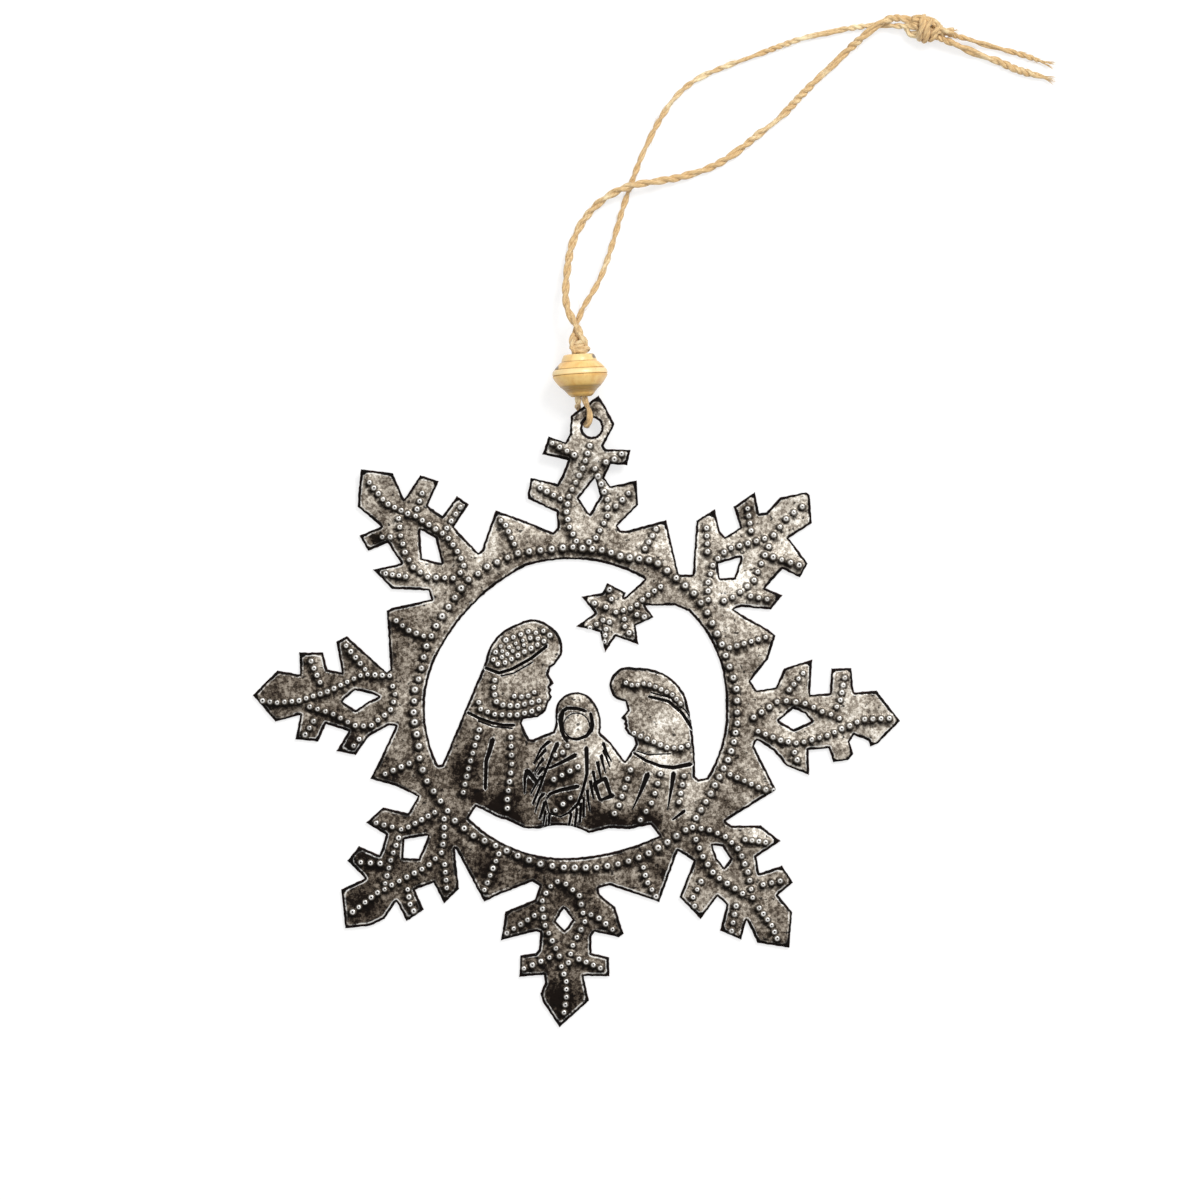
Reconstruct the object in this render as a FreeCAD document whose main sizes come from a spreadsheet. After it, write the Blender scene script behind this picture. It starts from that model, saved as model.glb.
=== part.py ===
import FreeCAD, Part
import Sketcher
import math
import os

from FreeCAD import Placement, Rotation, Vector

# A snowflake cut from one steel sheet, with three figures and a star left standing in its ring,
# punched with beads from the back and hung from a loop of jute twine through a turned wooden bead.
# Millimetres. The sheet lies face up with its flat back on z = 0 and its hanging arm towards +Y.
# The origin is the middle of the ring.

doc = FreeCAD.newDocument("SnowflakeOrnament")
sheet = doc.addObject("Spreadsheet::Sheet", "Sizes")

sizes = [
    ("plate_width", 127, "from the tip of the left arm to the tip of the right arm"),
    ("sheet_thickness", 1.0, "flattened drum steel"),
    ("arm_lift", 2.6, "how far the hanging arm is bent up, to let the twine pass beneath"),
    ("bend_start", 36.5, "from the middle of the ring to where the arm starts to rise"),
    ("bend_run", 18, "length of the bend, in plan"),
    ("hang_hole_diameter", 3.5, ""),
    ("ring_bead_diameter", 1.66, "beads punched round the ring"),
    ("ring_bead_height", 0.5, ""),
    ("arm_bead_diameter", 1.32, "beads punched on the arms, the figures and the star"),
    ("arm_bead_height", 0.4, ""),
    ("twine_diameter", 1.25, "two-ply jute"),
    ("strand_spacing", 1.3, "between the two strands where they lie side by side"),
    ("hitch_lead", 0.94, "the strands leave the bead's foot straight for this far"),
    ("bead_length", 8.2, ""),
    ("bead_diameter", 10.8, "at the belly"),
    ("bead_bore", 3.0, ""),
    ("stop_knot_gap", 0.1, "between the bead and the knot that stops it"),
    ("stop_knot_length", 3.5, ""),
    ("stop_knot_diameter", 3.7, ""),
    ("stop_knot_foot_diameter", 3.3, "too wide for the bead's bore"),
    ("stop_knot_top_diameter", 2.8, ""),
    ("crossing_spacing", 1.4, "between the strands where they leave the stop knot and cross"),
    ("crossing_lead", 0.9, "the strands leave the stop knot straight for this far"),
    ("knot_length", 5.6, "the knot at the end, along the doubled twine"),
    ("knot_diameter", 4.5, ""),
    ("knot_end_diameter", 2.7, ""),
    ("knot_valley_depth", 0.45, "between two of its turns"),
    ("knot_lead", 2.35, "the twine runs straight into the knot for this far"),
]
for row, (alias, value, note) in enumerate(sizes, start=1):
    sheet.set("A%d" % row, alias)
    sheet.set("B%d" % row, str(value))
    sheet.set("C%d" % row, note)
    sheet.setAlias("B%d" % row, alias)
doc.recompute()


def size(alias):
    return float(sheet.get(alias))


# Places in the photograph, in its own pixels. The scale follows from the width of the plate.
photo_middle = (575, 708.5)
photo_left_tip = 252.5
photo_right_tip = 900.5
pixel = size("plate_width") / (photo_right_tip - photo_left_tip)


def place(x, y, height=0.0):
    return Vector((x - photo_middle[0]) * pixel, (photo_middle[1] - y) * pixel, height)


# An outline is a closed row of places. Two numbers are the end of a straight edge. Four are the
# end of an arc, after a place on its way.
plate_outline = [
    # right side of the hanging arm
    (599, 395.5), (605.5, 406.5), (615, 425), (604, 446.5), (606.5, 449), (631, 450),
    (627.5, 466), (611, 465), (605, 478), (610.5, 486), (637, 480), (638.5, 505), (618, 526),
    (621, 530), (625.5, 530.5),
    # tooth between the hanging arm and the upper right arm
    (666.5, 519.5), (679, 574), (692, 574),
    # upper right arm
    (696, 520.5), (715, 508.5), (720, 530.5), (725, 536.5), (739.5, 527.5), (733, 506.5),
    (755, 491.5), (759.5, 513), (766, 512), (779.5, 497), (806, 492), (810, 495), (812, 523.5),
    (789, 538.5), (799, 551), (808, 563.5), (800, 578), (782.5, 569.5), (766, 588), (783, 595),
    (771, 610), (741.5, 607.5), (734, 609.5),
    # tooth above the right arm
    (768, 629), (776, 635.5), (768, 660), (751, 681), (757, 690),
    # right arm
    (775.5, 687), (783.5, 668), (812.5, 659), (810.5, 694.5), (829, 692.5), (831, 668),
    (851.5, 667.5), (854, 692), (876.5, 690), (900.5, 721), (877, 744.5), (870, 746.5),
    (868, 741), (854, 735.5), (850, 742), (853.5, 754), (848, 760.5), (833, 762.5),
    (828, 748.5), (809, 750.5), (809.5, 775.5), (785.5, 766), (773, 751), (757, 740.5),
    (754.5, 746),
    # tooth below the right arm
    (764, 764.5), (776.5, 790), (726.5, 821), (731.5, 825),
    # lower right arm
    (761, 825), (781, 841), (757, 857), (759.5, 872.5), (782, 865), (793.5, 882.5),
    (778.5, 895), (792.5, 912), (789.5, 948), (757, 943), (746.5, 920.5), (741.5, 940),
    (719.5, 930.5), (726, 904.5), (717.5, 897), (700.5, 919.5), (679, 897), (693, 861),
    (678, 851.5),
    # tooth right of the lower arm
    (659.5, 902.5), (648.5, 898.5), (609, 885.5), (599, 888.5), (600.5, 894.5),
    # lower arm
    (615.5, 906.5), (624, 933.5), (619, 937.5), (595, 932), (592, 936), (592, 952.5),
    (609.5, 957), (610, 976.5), (584, 976), (589.5, 1000.5), (559.5, 1027.5), (542.5, 1002),
    (540, 993.5), (544.5, 982), (543.5, 975), (519, 977), (520, 955), (535.5, 952.5),
    (538.5, 949), (539.5, 932.5), (536, 931.5), (500.5, 940.5), (505, 911), (534.5, 899),
    (539, 886), (532.5, 882),
    # tooth left of the lower arm
    (501, 894), (484, 902), (455.5, 849),
    # lower left arm
    (459.5, 889), (444, 904), (433.5, 883), (415.5, 890), (424.5, 909.5), (406.5, 921.5),
    (396.5, 902), (385, 919), (370.5, 926), (345, 928.5), (341, 889), (364.5, 878),
    (347, 860.5), (359, 845.5), (379.5, 854.5), (385.5, 835), (365.5, 822.5), (383, 807),
    (408, 812.5), (417.5, 796.5),
    # tooth below the left arm
    (395, 786), (370, 779), (383, 752.5), (395, 726.5), (389.5, 725.5),
    # left arm
    (369, 737), (356, 755.5), (336, 751), (348, 731.5), (326.5, 724.5), (318.5, 742),
    (295, 739.5), (300, 715.5), (275.5, 722), (252.5, 695), (277.5, 670), (300, 674),
    (299, 652), (323.5, 652), (328, 669), (341.5, 672), (336, 641.5), (347, 635.5),
    (387, 672), (390, 669.5),
    # tooth above the left arm
    (386.5, 610.5), (391.5, 607.5), (430.5, 599), (428.5, 591),
    # upper left arm
    (392, 589.5), (372.5, 569.5), (400.5, 563), (387.5, 543.5), (368, 551.5), (359, 535.5),
    (380.5, 526.5), (357.5, 507), (358, 496), (361, 469), (393.5, 473), (404.5, 498.5),
    (420.5, 475), (439.5, 481), (428.5, 505.5), (442.5, 515.5), (457, 495.5), (469.5, 504.5),
    (454.5, 527), (478.5, 552.5), (481.5, 549),
    # tooth between the upper left arm and the hanging arm
    (495.5, 510), (524, 520), (553, 532), (557, 527.5),
    # left side of the hanging arm
    (556, 512.5), (528, 499.5), (527, 495.5), (530.5, 477.5), (557, 483.5), (561.5, 475.5),
    (567.5, 461), (542, 455), (548.5, 436.5), (565.5, 442.5), (569.5, 433.5), (570.5, 416),
    (585, 405.5),
]

# The large opening inside the ring, round the star and above the three figures
ring_opening = [
    # the ring, left and top
    (426, 697, 443, 645.5), (470.5, 608, 527.5, 566), (586, 560.5, 644, 579.5),
    # the star
    (624.5, 597), (626.5, 592.5), (607, 582.5), (602, 592.5), (581, 596.5), (594, 613),
    (575.5, 626.5), (599.5, 632.5), (605, 653), (616, 637), (639, 645), (636, 626),
    (654, 617.5), (646, 606), (675, 606),
    # the ring, right
    (688, 611.5), (714, 648, 725, 702.5), (722, 740, 706.5, 777), (698.5, 779),
    # back and hood of the woman
    (695.5, 776), (692, 724, 686.5, 697), (665, 674, 634.5, 667.5), (611, 677, 616, 699.5),
    (625, 702),
    # her face, a plain one: brow, nose, lips, chin
    (627, 710), (620.5, 718), (624.5, 721), (623, 724), (625, 726), (624, 728.5),
    (627.5, 734), (633.5, 738), (635, 744), (625, 760.5),
    # the child's hood
    (611, 742), (600.5, 732), (599.5, 712, 593.5, 701), (572, 692, 555, 714.5), (555, 724.5),
    (552.5, 731),
    # beard of the man
    (533, 738.5), (529.5, 738.5), (522, 723), (523.5, 719.5), (538, 717.5), (546, 711.5),
    # his face, a plain one: lips, nose, brow
    (548.5, 703.5), (552.5, 696.5), (550.5, 693), (552, 689.5), (550.5, 687), (554.5, 683.5),
    (549, 674), (551, 668), (555.5, 664.5),
    # his turban and back
    (562, 655), (561.5, 639, 550, 625.5), (535, 619, 517.5, 623.5), (498, 635, 485, 661.5),
    (442, 764), (438.5, 764.5),
]

# The opening between the figures' hems and the ring
lower_opening = [
    (476.5, 807), (499, 818.5), (506, 820), (524, 828.5), (540, 829), (561, 825.5, 589, 833.5),
    (609, 828.5), (629.5, 829.5), (650.5, 825), (658.5, 835.5),
    (620, 849.5, 576, 857), (520, 850, 469.5, 818),
]

# The small window in each arm, clockwise from the hanging arm
arm_windows = [
    [(595, 479), (599.5, 496), (589.5, 513.5), (579.5, 498.5)],
    [(718.5, 564), (740, 558), (734, 577), (720, 578)],
    [(779.5, 720.5), (793, 709.5), (804.5, 714), (810.5, 721), (793.5, 728.5)],
    [(713, 845.5), (722, 847), (729.5, 858.5), (724, 866.5), (717.5, 858)],
    [(564, 909), (572, 919.5), (564.5, 929.5), (556.5, 921)],
    [(405, 839.5), (427.5, 836), (418.5, 858), (404, 857.5)],
    [(355.5, 690.5), (378, 696.5), (369, 700.5), (356, 709.5), (343, 701.5)],
    [(421, 530.5), (435, 538.5), (441, 562.5), (422.5, 558)],
]

hang_hole = (592, 428)

# Rows of beads punched from the back. A row is how many beads it has and places along its line;
# the beads are spaced evenly. These go clockwise round the ring, from its left side.
ring_bead_rows = [
    (23, [(414, 712), (415.5, 686), (420, 676.5), (426, 647.5), (437.5, 623.5), (462.5, 586.5),
          (470, 578), (480, 572.5), (487, 566.5), (519, 552.5), (563, 547.5)]),
    (9, [(573, 547), (604, 550), (620.5, 556), (649, 560)]),
    (16, [(658, 563), (692.5, 591), (706, 609.5), (721.5, 643), (734, 679.5), (737, 691.5),
          (737, 712)]),
    (12, [(737, 723), (733.5, 744), (727.5, 760.5), (709, 796), (696, 817.5)]),
    (13, [(685.5, 829.5), (663, 844.5), (644.5, 855), (621, 863), (597.5, 867), (564, 867)]),
    (19, [(552.5, 865.5), (541.5, 863.5), (520.5, 856.5), (471.5, 834), (454, 819), (428, 782.5),
          (420, 761), (419.5, 747.5), (415, 722)]),
]
arm_bead_rows = [
    # hanging arm
    (14, [(590, 446), (583.5, 467), (569, 495.5), (566.5, 511), (569, 526), (576.5, 541)]),
    (11, [(595, 468.5), (607.5, 499.5), (607.5, 516.5), (595.5, 538.5), (589, 542)]),
    (4, [(552.5, 443.5), (574.5, 455)]),
    (3, [(621.5, 454), (614, 459.5), (606, 462)]),
    (4, [(540.5, 487.5), (560.5, 498.5)]),
    (3, [(628.5, 493), (616, 506)]),
    (4, [(656, 529), (645, 548.5)]),
    # upper right arm
    (5, [(802, 506.5), (787.5, 516.5), (773.5, 535)]),
    (12, [(764.5, 538.5), (727, 549), (713.5, 563), (708, 582.5), (708, 599.5)]),
    (9, [(768.5, 546.5), (753.5, 581), (734, 596.5), (724, 600.5)]),
    (4, [(706.5, 528), (707.5, 551.5)]),
    (4, [(747.5, 508.5), (751, 530.5)]),
    (4, [(773, 557), (799, 565)]),
    (3, [(750.5, 596), (767, 599)]),
    (6, [(729.5, 647.5), (765.5, 637)]),
    # right arm
    (12, [(753.5, 717), (777.5, 701), (787.5, 700.5), (806.5, 703.5), (824.5, 712.5),
          (832.5, 714.5), (847.5, 722.5)]),
    (12, [(758, 731), (782, 740.5), (798.5, 743), (828, 735), (841.5, 728.5)]),
    (6, [(849.5, 725.5), (862.5, 719), (889, 718)]),
    (4, [(803, 673), (789, 689.5)]),
    (5, [(844.5, 677.5), (840, 700), (836.5, 706.5)]),
    (2, [(794.5, 752), (797, 759.5)]),
    (7, [(730, 774), (763, 789), (773.5, 790)]),
    # lower right arm
    (13, [(692.5, 827), (708, 829), (724.5, 835.5), (739, 849), (748.5, 873), (752.5, 897)]),
    (9, [(696, 839), (703, 856.5), (715, 875), (742.5, 893)]),
    (6, [(759, 907.5), (772, 925.5), (777, 938)]),
    (4, [(745, 839), (765.5, 842)]),
    (3, [(763, 884), (780, 880.5)]),
    (4, [(701, 881), (693, 897), (694.5, 905.5)]),
    (4, [(736, 905.5), (731.5, 930.5)]),
    (5, [(643.5, 867), (647, 881), (656, 896)]),
    # lower arm
    (11, [(557.5, 881), (548.5, 887.5), (541.5, 902.5), (545.5, 925.5), (559.5, 955.5)]),
    (11, [(566, 883.5), (579.5, 895), (585, 921.5), (573, 944.5), (568.5, 962)]),
    (7, [(561.5, 966), (566.5, 981), (566.5, 997.5), (564, 1012)]),
    (5, [(534.5, 915), (507, 932.5)]),
    (4, [(591, 914), (599, 917.5), (612.5, 929)]),
    (4, [(549.5, 957), (524, 968)]),
    (4, [(579, 958.5), (600.5, 967.5)]),
    (6, [(499, 853.5), (484.5, 889.5)]),
    # lower left arm
    (6, [(435, 812), (408, 827), (401.5, 829)]),
    (7, [(399, 837.5), (391, 860), (385.5, 883)]),
    (6, [(385, 889), (378.5, 891.5), (353, 911.5)]),
    (12, [(392, 884.5), (428, 865.5), (442, 852), (444.5, 834.5), (444.5, 818.5)]),
    (3, [(376.5, 822.5), (392.5, 826.5)]),
    (3, [(361, 862), (380.5, 863)]),
    (4, [(445, 864), (447, 887.5)]),
    (4, [(408, 889), (410.5, 904), (414, 910.5)]),
    (4, [(385.5, 773.5), (409.5, 763)]),
    # left arm
    (19, [(263, 700.5), (277, 702.5), (299, 700.5), (328.5, 691), (363.5, 674), (390, 675.5)]),
    (15, [(310, 706.5), (332, 713), (354, 725), (370.5, 726), (390.5, 710.5), (396, 696),
          (393, 686)]),
    (4, [(311.5, 661), (320.5, 682)]),
    (5, [(346.5, 645.5), (365.5, 669)]),
    (3, [(314, 721), (305.5, 734.5)]),
    (2, [(359.5, 739), (354, 745.5)]),
    (6, [(396.5, 620.5), (409.5, 630.5), (424.5, 636), (432, 636)]),
    # upper left arm
    (8, [(370, 482), (386.5, 503), (408, 513.5)]),
    (12, [(399, 518.5), (401, 535.5), (405.5, 552.5), (414, 567.5), (428, 577), (453.5, 578)]),
    (11, [(416, 516), (447.5, 536.5), (457, 550), (464.5, 564.5), (460.5, 572.5)]),
    (3, [(422.5, 493), (417.5, 509)]),
    (4, [(460.5, 507), (447, 528)]),
    (2, [(382.5, 537), (390.5, 537)]),
    (4, [(386, 573.5), (406, 576.5)]),
    (5, [(501, 520.5), (505.5, 524.5), (514.5, 544)]),
    # the star and its tail
    (3, [(609.5, 589.5), (612, 598), (606, 607)]),
    (3, [(603, 620), (590, 628)]),
    (2, [(594.5, 603), (609.5, 622)]),
    (3, [(606, 629), (604.5, 641.5)]),
    (3, [(624.5, 619), (625, 627.5), (629, 632.5)]),
    (2, [(637, 614.5), (644.5, 616.5)]),
    (8, [(616, 612), (630, 608.5), (637, 604.5), (646.5, 596), (660.5, 586.5)]),
    # turban, hair, beard and robe of the man
    (10, [(493.5, 659.5), (495, 653), (506, 640), (529.5, 631), (537, 633), (544, 630.5),
          (550, 635)]),
    (6, [(502.5, 651), (518, 642), (531, 637.5), (538, 638.5)]),
    (5, [(502, 657), (517, 648.5), (524, 645)]),
    (8, [(498, 664), (504, 663), (544, 641)]),
    (10, [(495, 680), (494, 687), (496, 701), (501.5, 704.5), (515.5, 706), (539, 700.5)]),
    (4, [(514.5, 696), (526, 697), (534.5, 692)]),
    (10, [(479, 702), (480, 708.5), (493.5, 714), (515.5, 715), (530.5, 711.5), (539, 708.5)]),
    (9, [(479.5, 729.5), (469, 767), (463.5, 792)]),
    (9, [(511, 737), (512, 764), (507.5, 798), (507.5, 808)]),
    # hood, collar and robe of the woman
    (11, [(626, 682.5), (633.5, 685.5), (645.5, 683), (656.5, 687), (672.5, 694.5),
          (680.5, 703.5)]),
    (9, [(634, 733), (667.5, 747.5), (680, 747.5), (688, 745)]),
    (6, [(630.5, 769.5), (619, 805), (614.5, 813)]),
    (6, [(660.5, 773.5), (652.5, 801), (640.5, 819.5)]),
    (4, [(684, 775.5), (679, 801.5)]),
    # wraps of the child
    (3, [(567.5, 745.5), (562, 753), (555.5, 755)]),
    (4, [(554, 779), (578, 766.5)]),
    (3, [(555.5, 810), (570.5, 797.5)]),
]


def outline_face(rows):
    edges = []
    start = place(*rows[-1][-2:])
    for row in rows:
        end = place(*row[-2:])
        if len(row) == 4:
            edges.append(Part.Arc(start, place(*row[:2]), end).toShape())
        else:
            edges.append(Part.LineSegment(start, end).toShape())
        start = end
    return Part.Face(Part.Wire(edges))


def shape_feature(name, shape):
    feature = doc.addObject("Part::Feature", name)
    feature.Shape = shape
    return feature


def extrusion(name, base, direction, length):
    solid = doc.addObject("Part::Extrusion", name)
    solid.Base = base
    solid.DirMode = "Custom"
    solid.Dir = direction
    solid.Solid = True
    solid.setExpression("LengthFwd", length)
    return solid


def boolean(kind, name, base, tool):
    result = doc.addObject("Part::" + kind, name)
    result.Base = base
    result.Tool = tool
    return result


# The bend is two equal arcs, one up and one level again.
bend_radius = (size("bend_run") ** 2 + size("arm_lift") ** 2) / (4 * size("arm_lift"))
bend_turn = 2 * math.atan(size("arm_lift") / size("bend_run"))


def bend_point(depth, turned, rising):
    """Distance up the plate and height, this deep in the sheet, after this much of an arc."""
    middle_depth = size("sheet_thickness") / 2
    if rising:
        radius = bend_radius - middle_depth + depth
        low = size("sheet_thickness") - middle_depth + bend_radius
        return size("bend_start") + radius * math.sin(turned), low - radius * math.cos(turned)
    radius = bend_radius + middle_depth - depth
    low = size("arm_lift") + middle_depth - bend_radius
    end = size("bend_start") + size("bend_run")
    return end - radius * math.sin(turned), low + radius * math.cos(turned)


def face_at(distance):
    """Height and slope of the sheet's face at this distance up the plate."""
    middle, _ = bend_point(0, bend_turn, True)
    if distance <= size("bend_start"):
        return size("sheet_thickness"), 0
    if distance >= size("bend_start") + size("bend_run"):
        return size("sheet_thickness") + size("arm_lift"), 0
    rising = distance < middle
    edge = size("bend_start") if rising else size("bend_start") + size("bend_run")
    radius = bend_radius + size("sheet_thickness") * (-0.5 if rising else 0.5)
    turned = math.asin(abs(distance - edge) / radius)
    return bend_point(0, turned, rising)[1], turned


def bent_sheet_face():
    """Side of the sheet, with the bend that lifts the hanging arm."""
    thick = size("sheet_thickness")
    lift = size("arm_lift")
    reach = size("plate_width")

    def arc(depth, first, last, rising):
        turns = (first, (first + last) / 2, last)
        return Part.Arc(*[Vector(-reach, *bend_point(depth, turn, rising)) for turn in turns])

    def line(first, last):
        return Part.LineSegment(Vector(-reach, *first), Vector(-reach, *last))

    edges = [
        line((-reach, 0), bend_point(thick, 0, True)),
        arc(thick, 0, bend_turn, True),
        arc(thick, bend_turn, 0, False),
        line(bend_point(thick, 0, False), (reach, lift)),
        line((reach, lift), (reach, lift + thick)),
        line((reach, lift + thick), bend_point(0, 0, False)),
        arc(0, 0, bend_turn, False),
        arc(0, bend_turn, 0, True),
        line(bend_point(0, 0, True), (-reach, thick)),
        line((-reach, thick), (-reach, 0)),
    ]
    return Part.Face(Part.Wire([edge.toShape() for edge in edges]))


def spaced(count, places):
    """Points at even steps along a line of places, both ends included."""
    points = [place(*row) for row in places]
    lengths = [(after - before).Length for before, after in zip(points, points[1:])]
    step = sum(lengths) / (count - 1)
    found = [points[0]]
    left = step
    for before, after, length in zip(points, points[1:], lengths):
        while left < length and len(found) < count - 1:
            found.append(before + (after - before) * (left / length))
            left += step
        left -= length
    return found + [points[-1]]


def punched_bead(middle, sides, radius, height):
    """A plain pyramid that stands on the sheet's face, its foot sunk in the sheet."""
    foot = size("sheet_thickness") / 2
    corners = []
    for number in range(sides + 1):
        angle = 2 * math.pi * (number + 0.5) / sides
        reach = radius * (height + foot) / height
        corners.append(Vector(reach * math.cos(angle), reach * math.sin(angle), -foot))
    apex = Vector(0, 0, height)
    faces = [Part.Face(Part.makePolygon(corners))]
    for first, last in zip(corners, corners[1:]):
        faces.append(Part.Face(Part.makePolygon([first, last, apex, first])))
    bead = Part.Solid(Part.Shell(faces))
    face_height, slope = face_at(middle.y)
    turned = Rotation(Vector(1, 0, 0), math.degrees(slope))
    bead.Placement = Placement(Vector(middle.x, middle.y, face_height), turned)
    return bead


def punched_beads(rows, sides, kind):
    radius = size(kind + "_bead_diameter") / 2
    height = size(kind + "_bead_height")
    middles = [middle for count, places in rows for middle in spaced(count, places)]
    return [punched_bead(middle, sides, radius, height) for middle in middles]


# The outline with its openings and the hang hole, as an upright column
cut_height = "Sizes.arm_lift + 2 * Sizes.sheet_thickness + Sizes.ring_bead_height"
outline = shape_feature("PlateOutline", outline_face(plate_outline))
blank = extrusion("PlateBlank", outline, Vector(0, 0, 1), cut_height)
openings = [ring_opening, lower_opening] + arm_windows
opening_faces = Part.makeCompound([outline_face(rows) for rows in openings])
opening_outlines = shape_feature("OpeningOutlines", opening_faces)
opening_cuts = extrusion("OpeningCuts", opening_outlines, Vector(0, 0, 1), cut_height)
opened = boolean("Cut", "OpenedBlank", blank, opening_cuts)
hole = doc.addObject("Part::Cylinder", "HangHole")
hole.setExpression("Radius", "Sizes.hang_hole_diameter / 2")
hole.setExpression("Height", cut_height)
hole.Placement.Base = place(*hang_hole)
column = boolean("Cut", "CutColumn", opened, hole)

# The plate: the bent sheet cut by the column, its beads, and both cut again where a bead is at an edge
side = shape_feature("SheetSide", bent_sheet_face())
bent_sheet = extrusion("BentSheet", side, Vector(1, 0, 0), "2 * Sizes.plate_width")
plain_plate = boolean("Common", "PlainPlate", column, bent_sheet)
doc.recompute()
beads = punched_beads(ring_bead_rows, 6, "ring") + punched_beads(arm_bead_rows, 4, "arm")
print(len(beads), "punched beads")
beaded_plate = shape_feature("BeadedPlate", plain_plate.Shape.fuse(beads))
plate = boolean("Common", "SnowflakePlate", beaded_plate, column)
plate.Label = "snowflake_plate"


# The bead lies on its belly, in line with the two strands that run through it.
bead_foot_place = (581.4, 397.6)
bead_top_place = (578.8, 355.5)
bead_foot = place(*bead_foot_place, size("bead_diameter") / 2)
bead_axis = (place(*bead_top_place) - place(*bead_foot_place)).normalize()
bead_side = Vector(bead_axis.y, -bead_axis.x, 0)


def origin_plane(body, role):
    return [plane for plane in body.Origin.OriginFeatures if plane.Role == role][0]


def turned_body(name, label, rows, foot, axis):
    """A body turned round its own Z axis. A row is the radius and the height of a corner."""
    body = doc.addObject("PartDesign::Body", name)
    body.Label = label
    sketch = body.newObject("Sketcher::SketchObject", name + "Profile")
    sketch.AttachmentSupport = (origin_plane(body, "XZ_Plane"), "")
    sketch.MapMode = "FlatFace"
    values = [[float(sketch.evalExpression(text)) for text in row] for row in rows]
    corners = [Vector(row[0], row[1], 0) for row in values]
    for number, corner in enumerate(corners):
        sketch.addGeometry(Part.LineSegment(corners[number - 1], corner), False)
    for number, row in enumerate(rows):
        following = (number + 1) % len(rows)
        sketch.addConstraint(Sketcher.Constraint("Coincident", number, 2, following, 1))
        for kind, text, value in zip(("DistanceX", "DistanceY"), row, values[number]):
            if value == 0:
                axis_of_zero = -2 if kind == "DistanceX" else -1
                sketch.addConstraint(Sketcher.Constraint("PointOnObject", number, 2, axis_of_zero))
                continue
            constraint = sketch.addConstraint(Sketcher.Constraint(kind, -1, 1, number, 2, value))
            sketch.setExpression("Constraints[%d]" % constraint, text)
    turned = body.newObject("PartDesign::Revolution", name + "Turned")
    turned.Profile = sketch
    turned.ReferenceAxis = (sketch, ["V_Axis"])
    turned.Angle = 360
    sketch.Visibility = False
    body.Placement = Placement(foot, Rotation(Vector(0, 0, 1), axis))
    return body


def wound(diameter, length, crest_shares, valley_shares):
    """The side of a knot, whose turns stand out at the crest shares of its length."""
    rows = []
    for share in sorted(crest_shares + valley_shares):
        radius = diameter + " / 2"
        if share in valley_shares:
            radius += " - Sizes.knot_valley_depth"
        rows.append((radius, length + " * %s" % share))
    return rows


# The bead's side from its foot to its lip, with three turned grooves: shares of the bead's length
# and of its radius at the belly
bead_shares = [
    (0, 0.38), (0.05, 0.463), (0.255, 0.756), (0.36, 0.881), (0.46, 0.98), (0.5, 0.995),
    (0.513, 0.965), (0.526, 1), (0.6, 0.985), (0.645, 0.937), (0.66, 0.9), (0.82, 0.685),
    (0.832, 0.64), (0.93, 0.602), (1, 0.535),
]
bead_side_rows = []
for length_share, radius_share in bead_shares:
    radius = "Sizes.bead_diameter / 2 * %s" % radius_share
    bead_side_rows.append((radius, "Sizes.bead_length * %s" % length_share))
bead = turned_body("WoodenBead", "wooden_bead", [
    ("Sizes.bead_bore / 2", "0"),
    *bead_side_rows,
    ("Sizes.bead_bore / 2", "Sizes.bead_length"),
], bead_foot, bead_axis)


# The stop knot is a single tight one in both strands, close above the bead. It has two turns.
stop_knot_foot = bead_foot + bead_axis * (size("bead_length") + size("stop_knot_gap"))
stop_knot_top = stop_knot_foot + bead_axis * size("stop_knot_length")
stop_crest_shares = [0.15, 0.35, 0.65, 0.8]
stop_valley_shares = [0.5]
stop_knot = turned_body("StopKnot", "twine_stop_knot", [
    ("0", "0"),
    ("Sizes.stop_knot_foot_diameter / 2", "0"),
    *wound("Sizes.stop_knot_diameter", "Sizes.stop_knot_length", stop_crest_shares,
           stop_valley_shares),
    ("Sizes.stop_knot_top_diameter / 2", "Sizes.stop_knot_length"),
    ("0", "Sizes.stop_knot_length"),
], stop_knot_foot, bead_axis)


# The knot is the doubled twine wound round itself three times, pulled tight.
knot_entry_place = (909.5, 24.5)
knot_exit_place = (936.2, 34.7)
knot_entry = place(*knot_entry_place, size("knot_diameter") / 2)
knot_axis = (place(*knot_exit_place) - place(*knot_entry_place)).normalize()
knot_exit = knot_entry + knot_axis * size("knot_length")
knot_side = Vector(knot_axis.y, -knot_axis.x, 0)
knot_crest_shares = [0.12, 0.24, 0.43, 0.57, 0.76, 0.88]
knot_valley_shares = [0.335, 0.665]
knot = turned_body("TwineKnot", "twine_knot", [
    ("0", "0"),
    ("Sizes.knot_end_diameter / 2", "0"),
    *wound("Sizes.knot_diameter", "Sizes.knot_length", knot_crest_shares, knot_valley_shares),
    ("Sizes.knot_end_diameter / 2", "Sizes.knot_length"),
    ("0", "Sizes.knot_length"),
], knot_entry, knot_axis)


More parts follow.
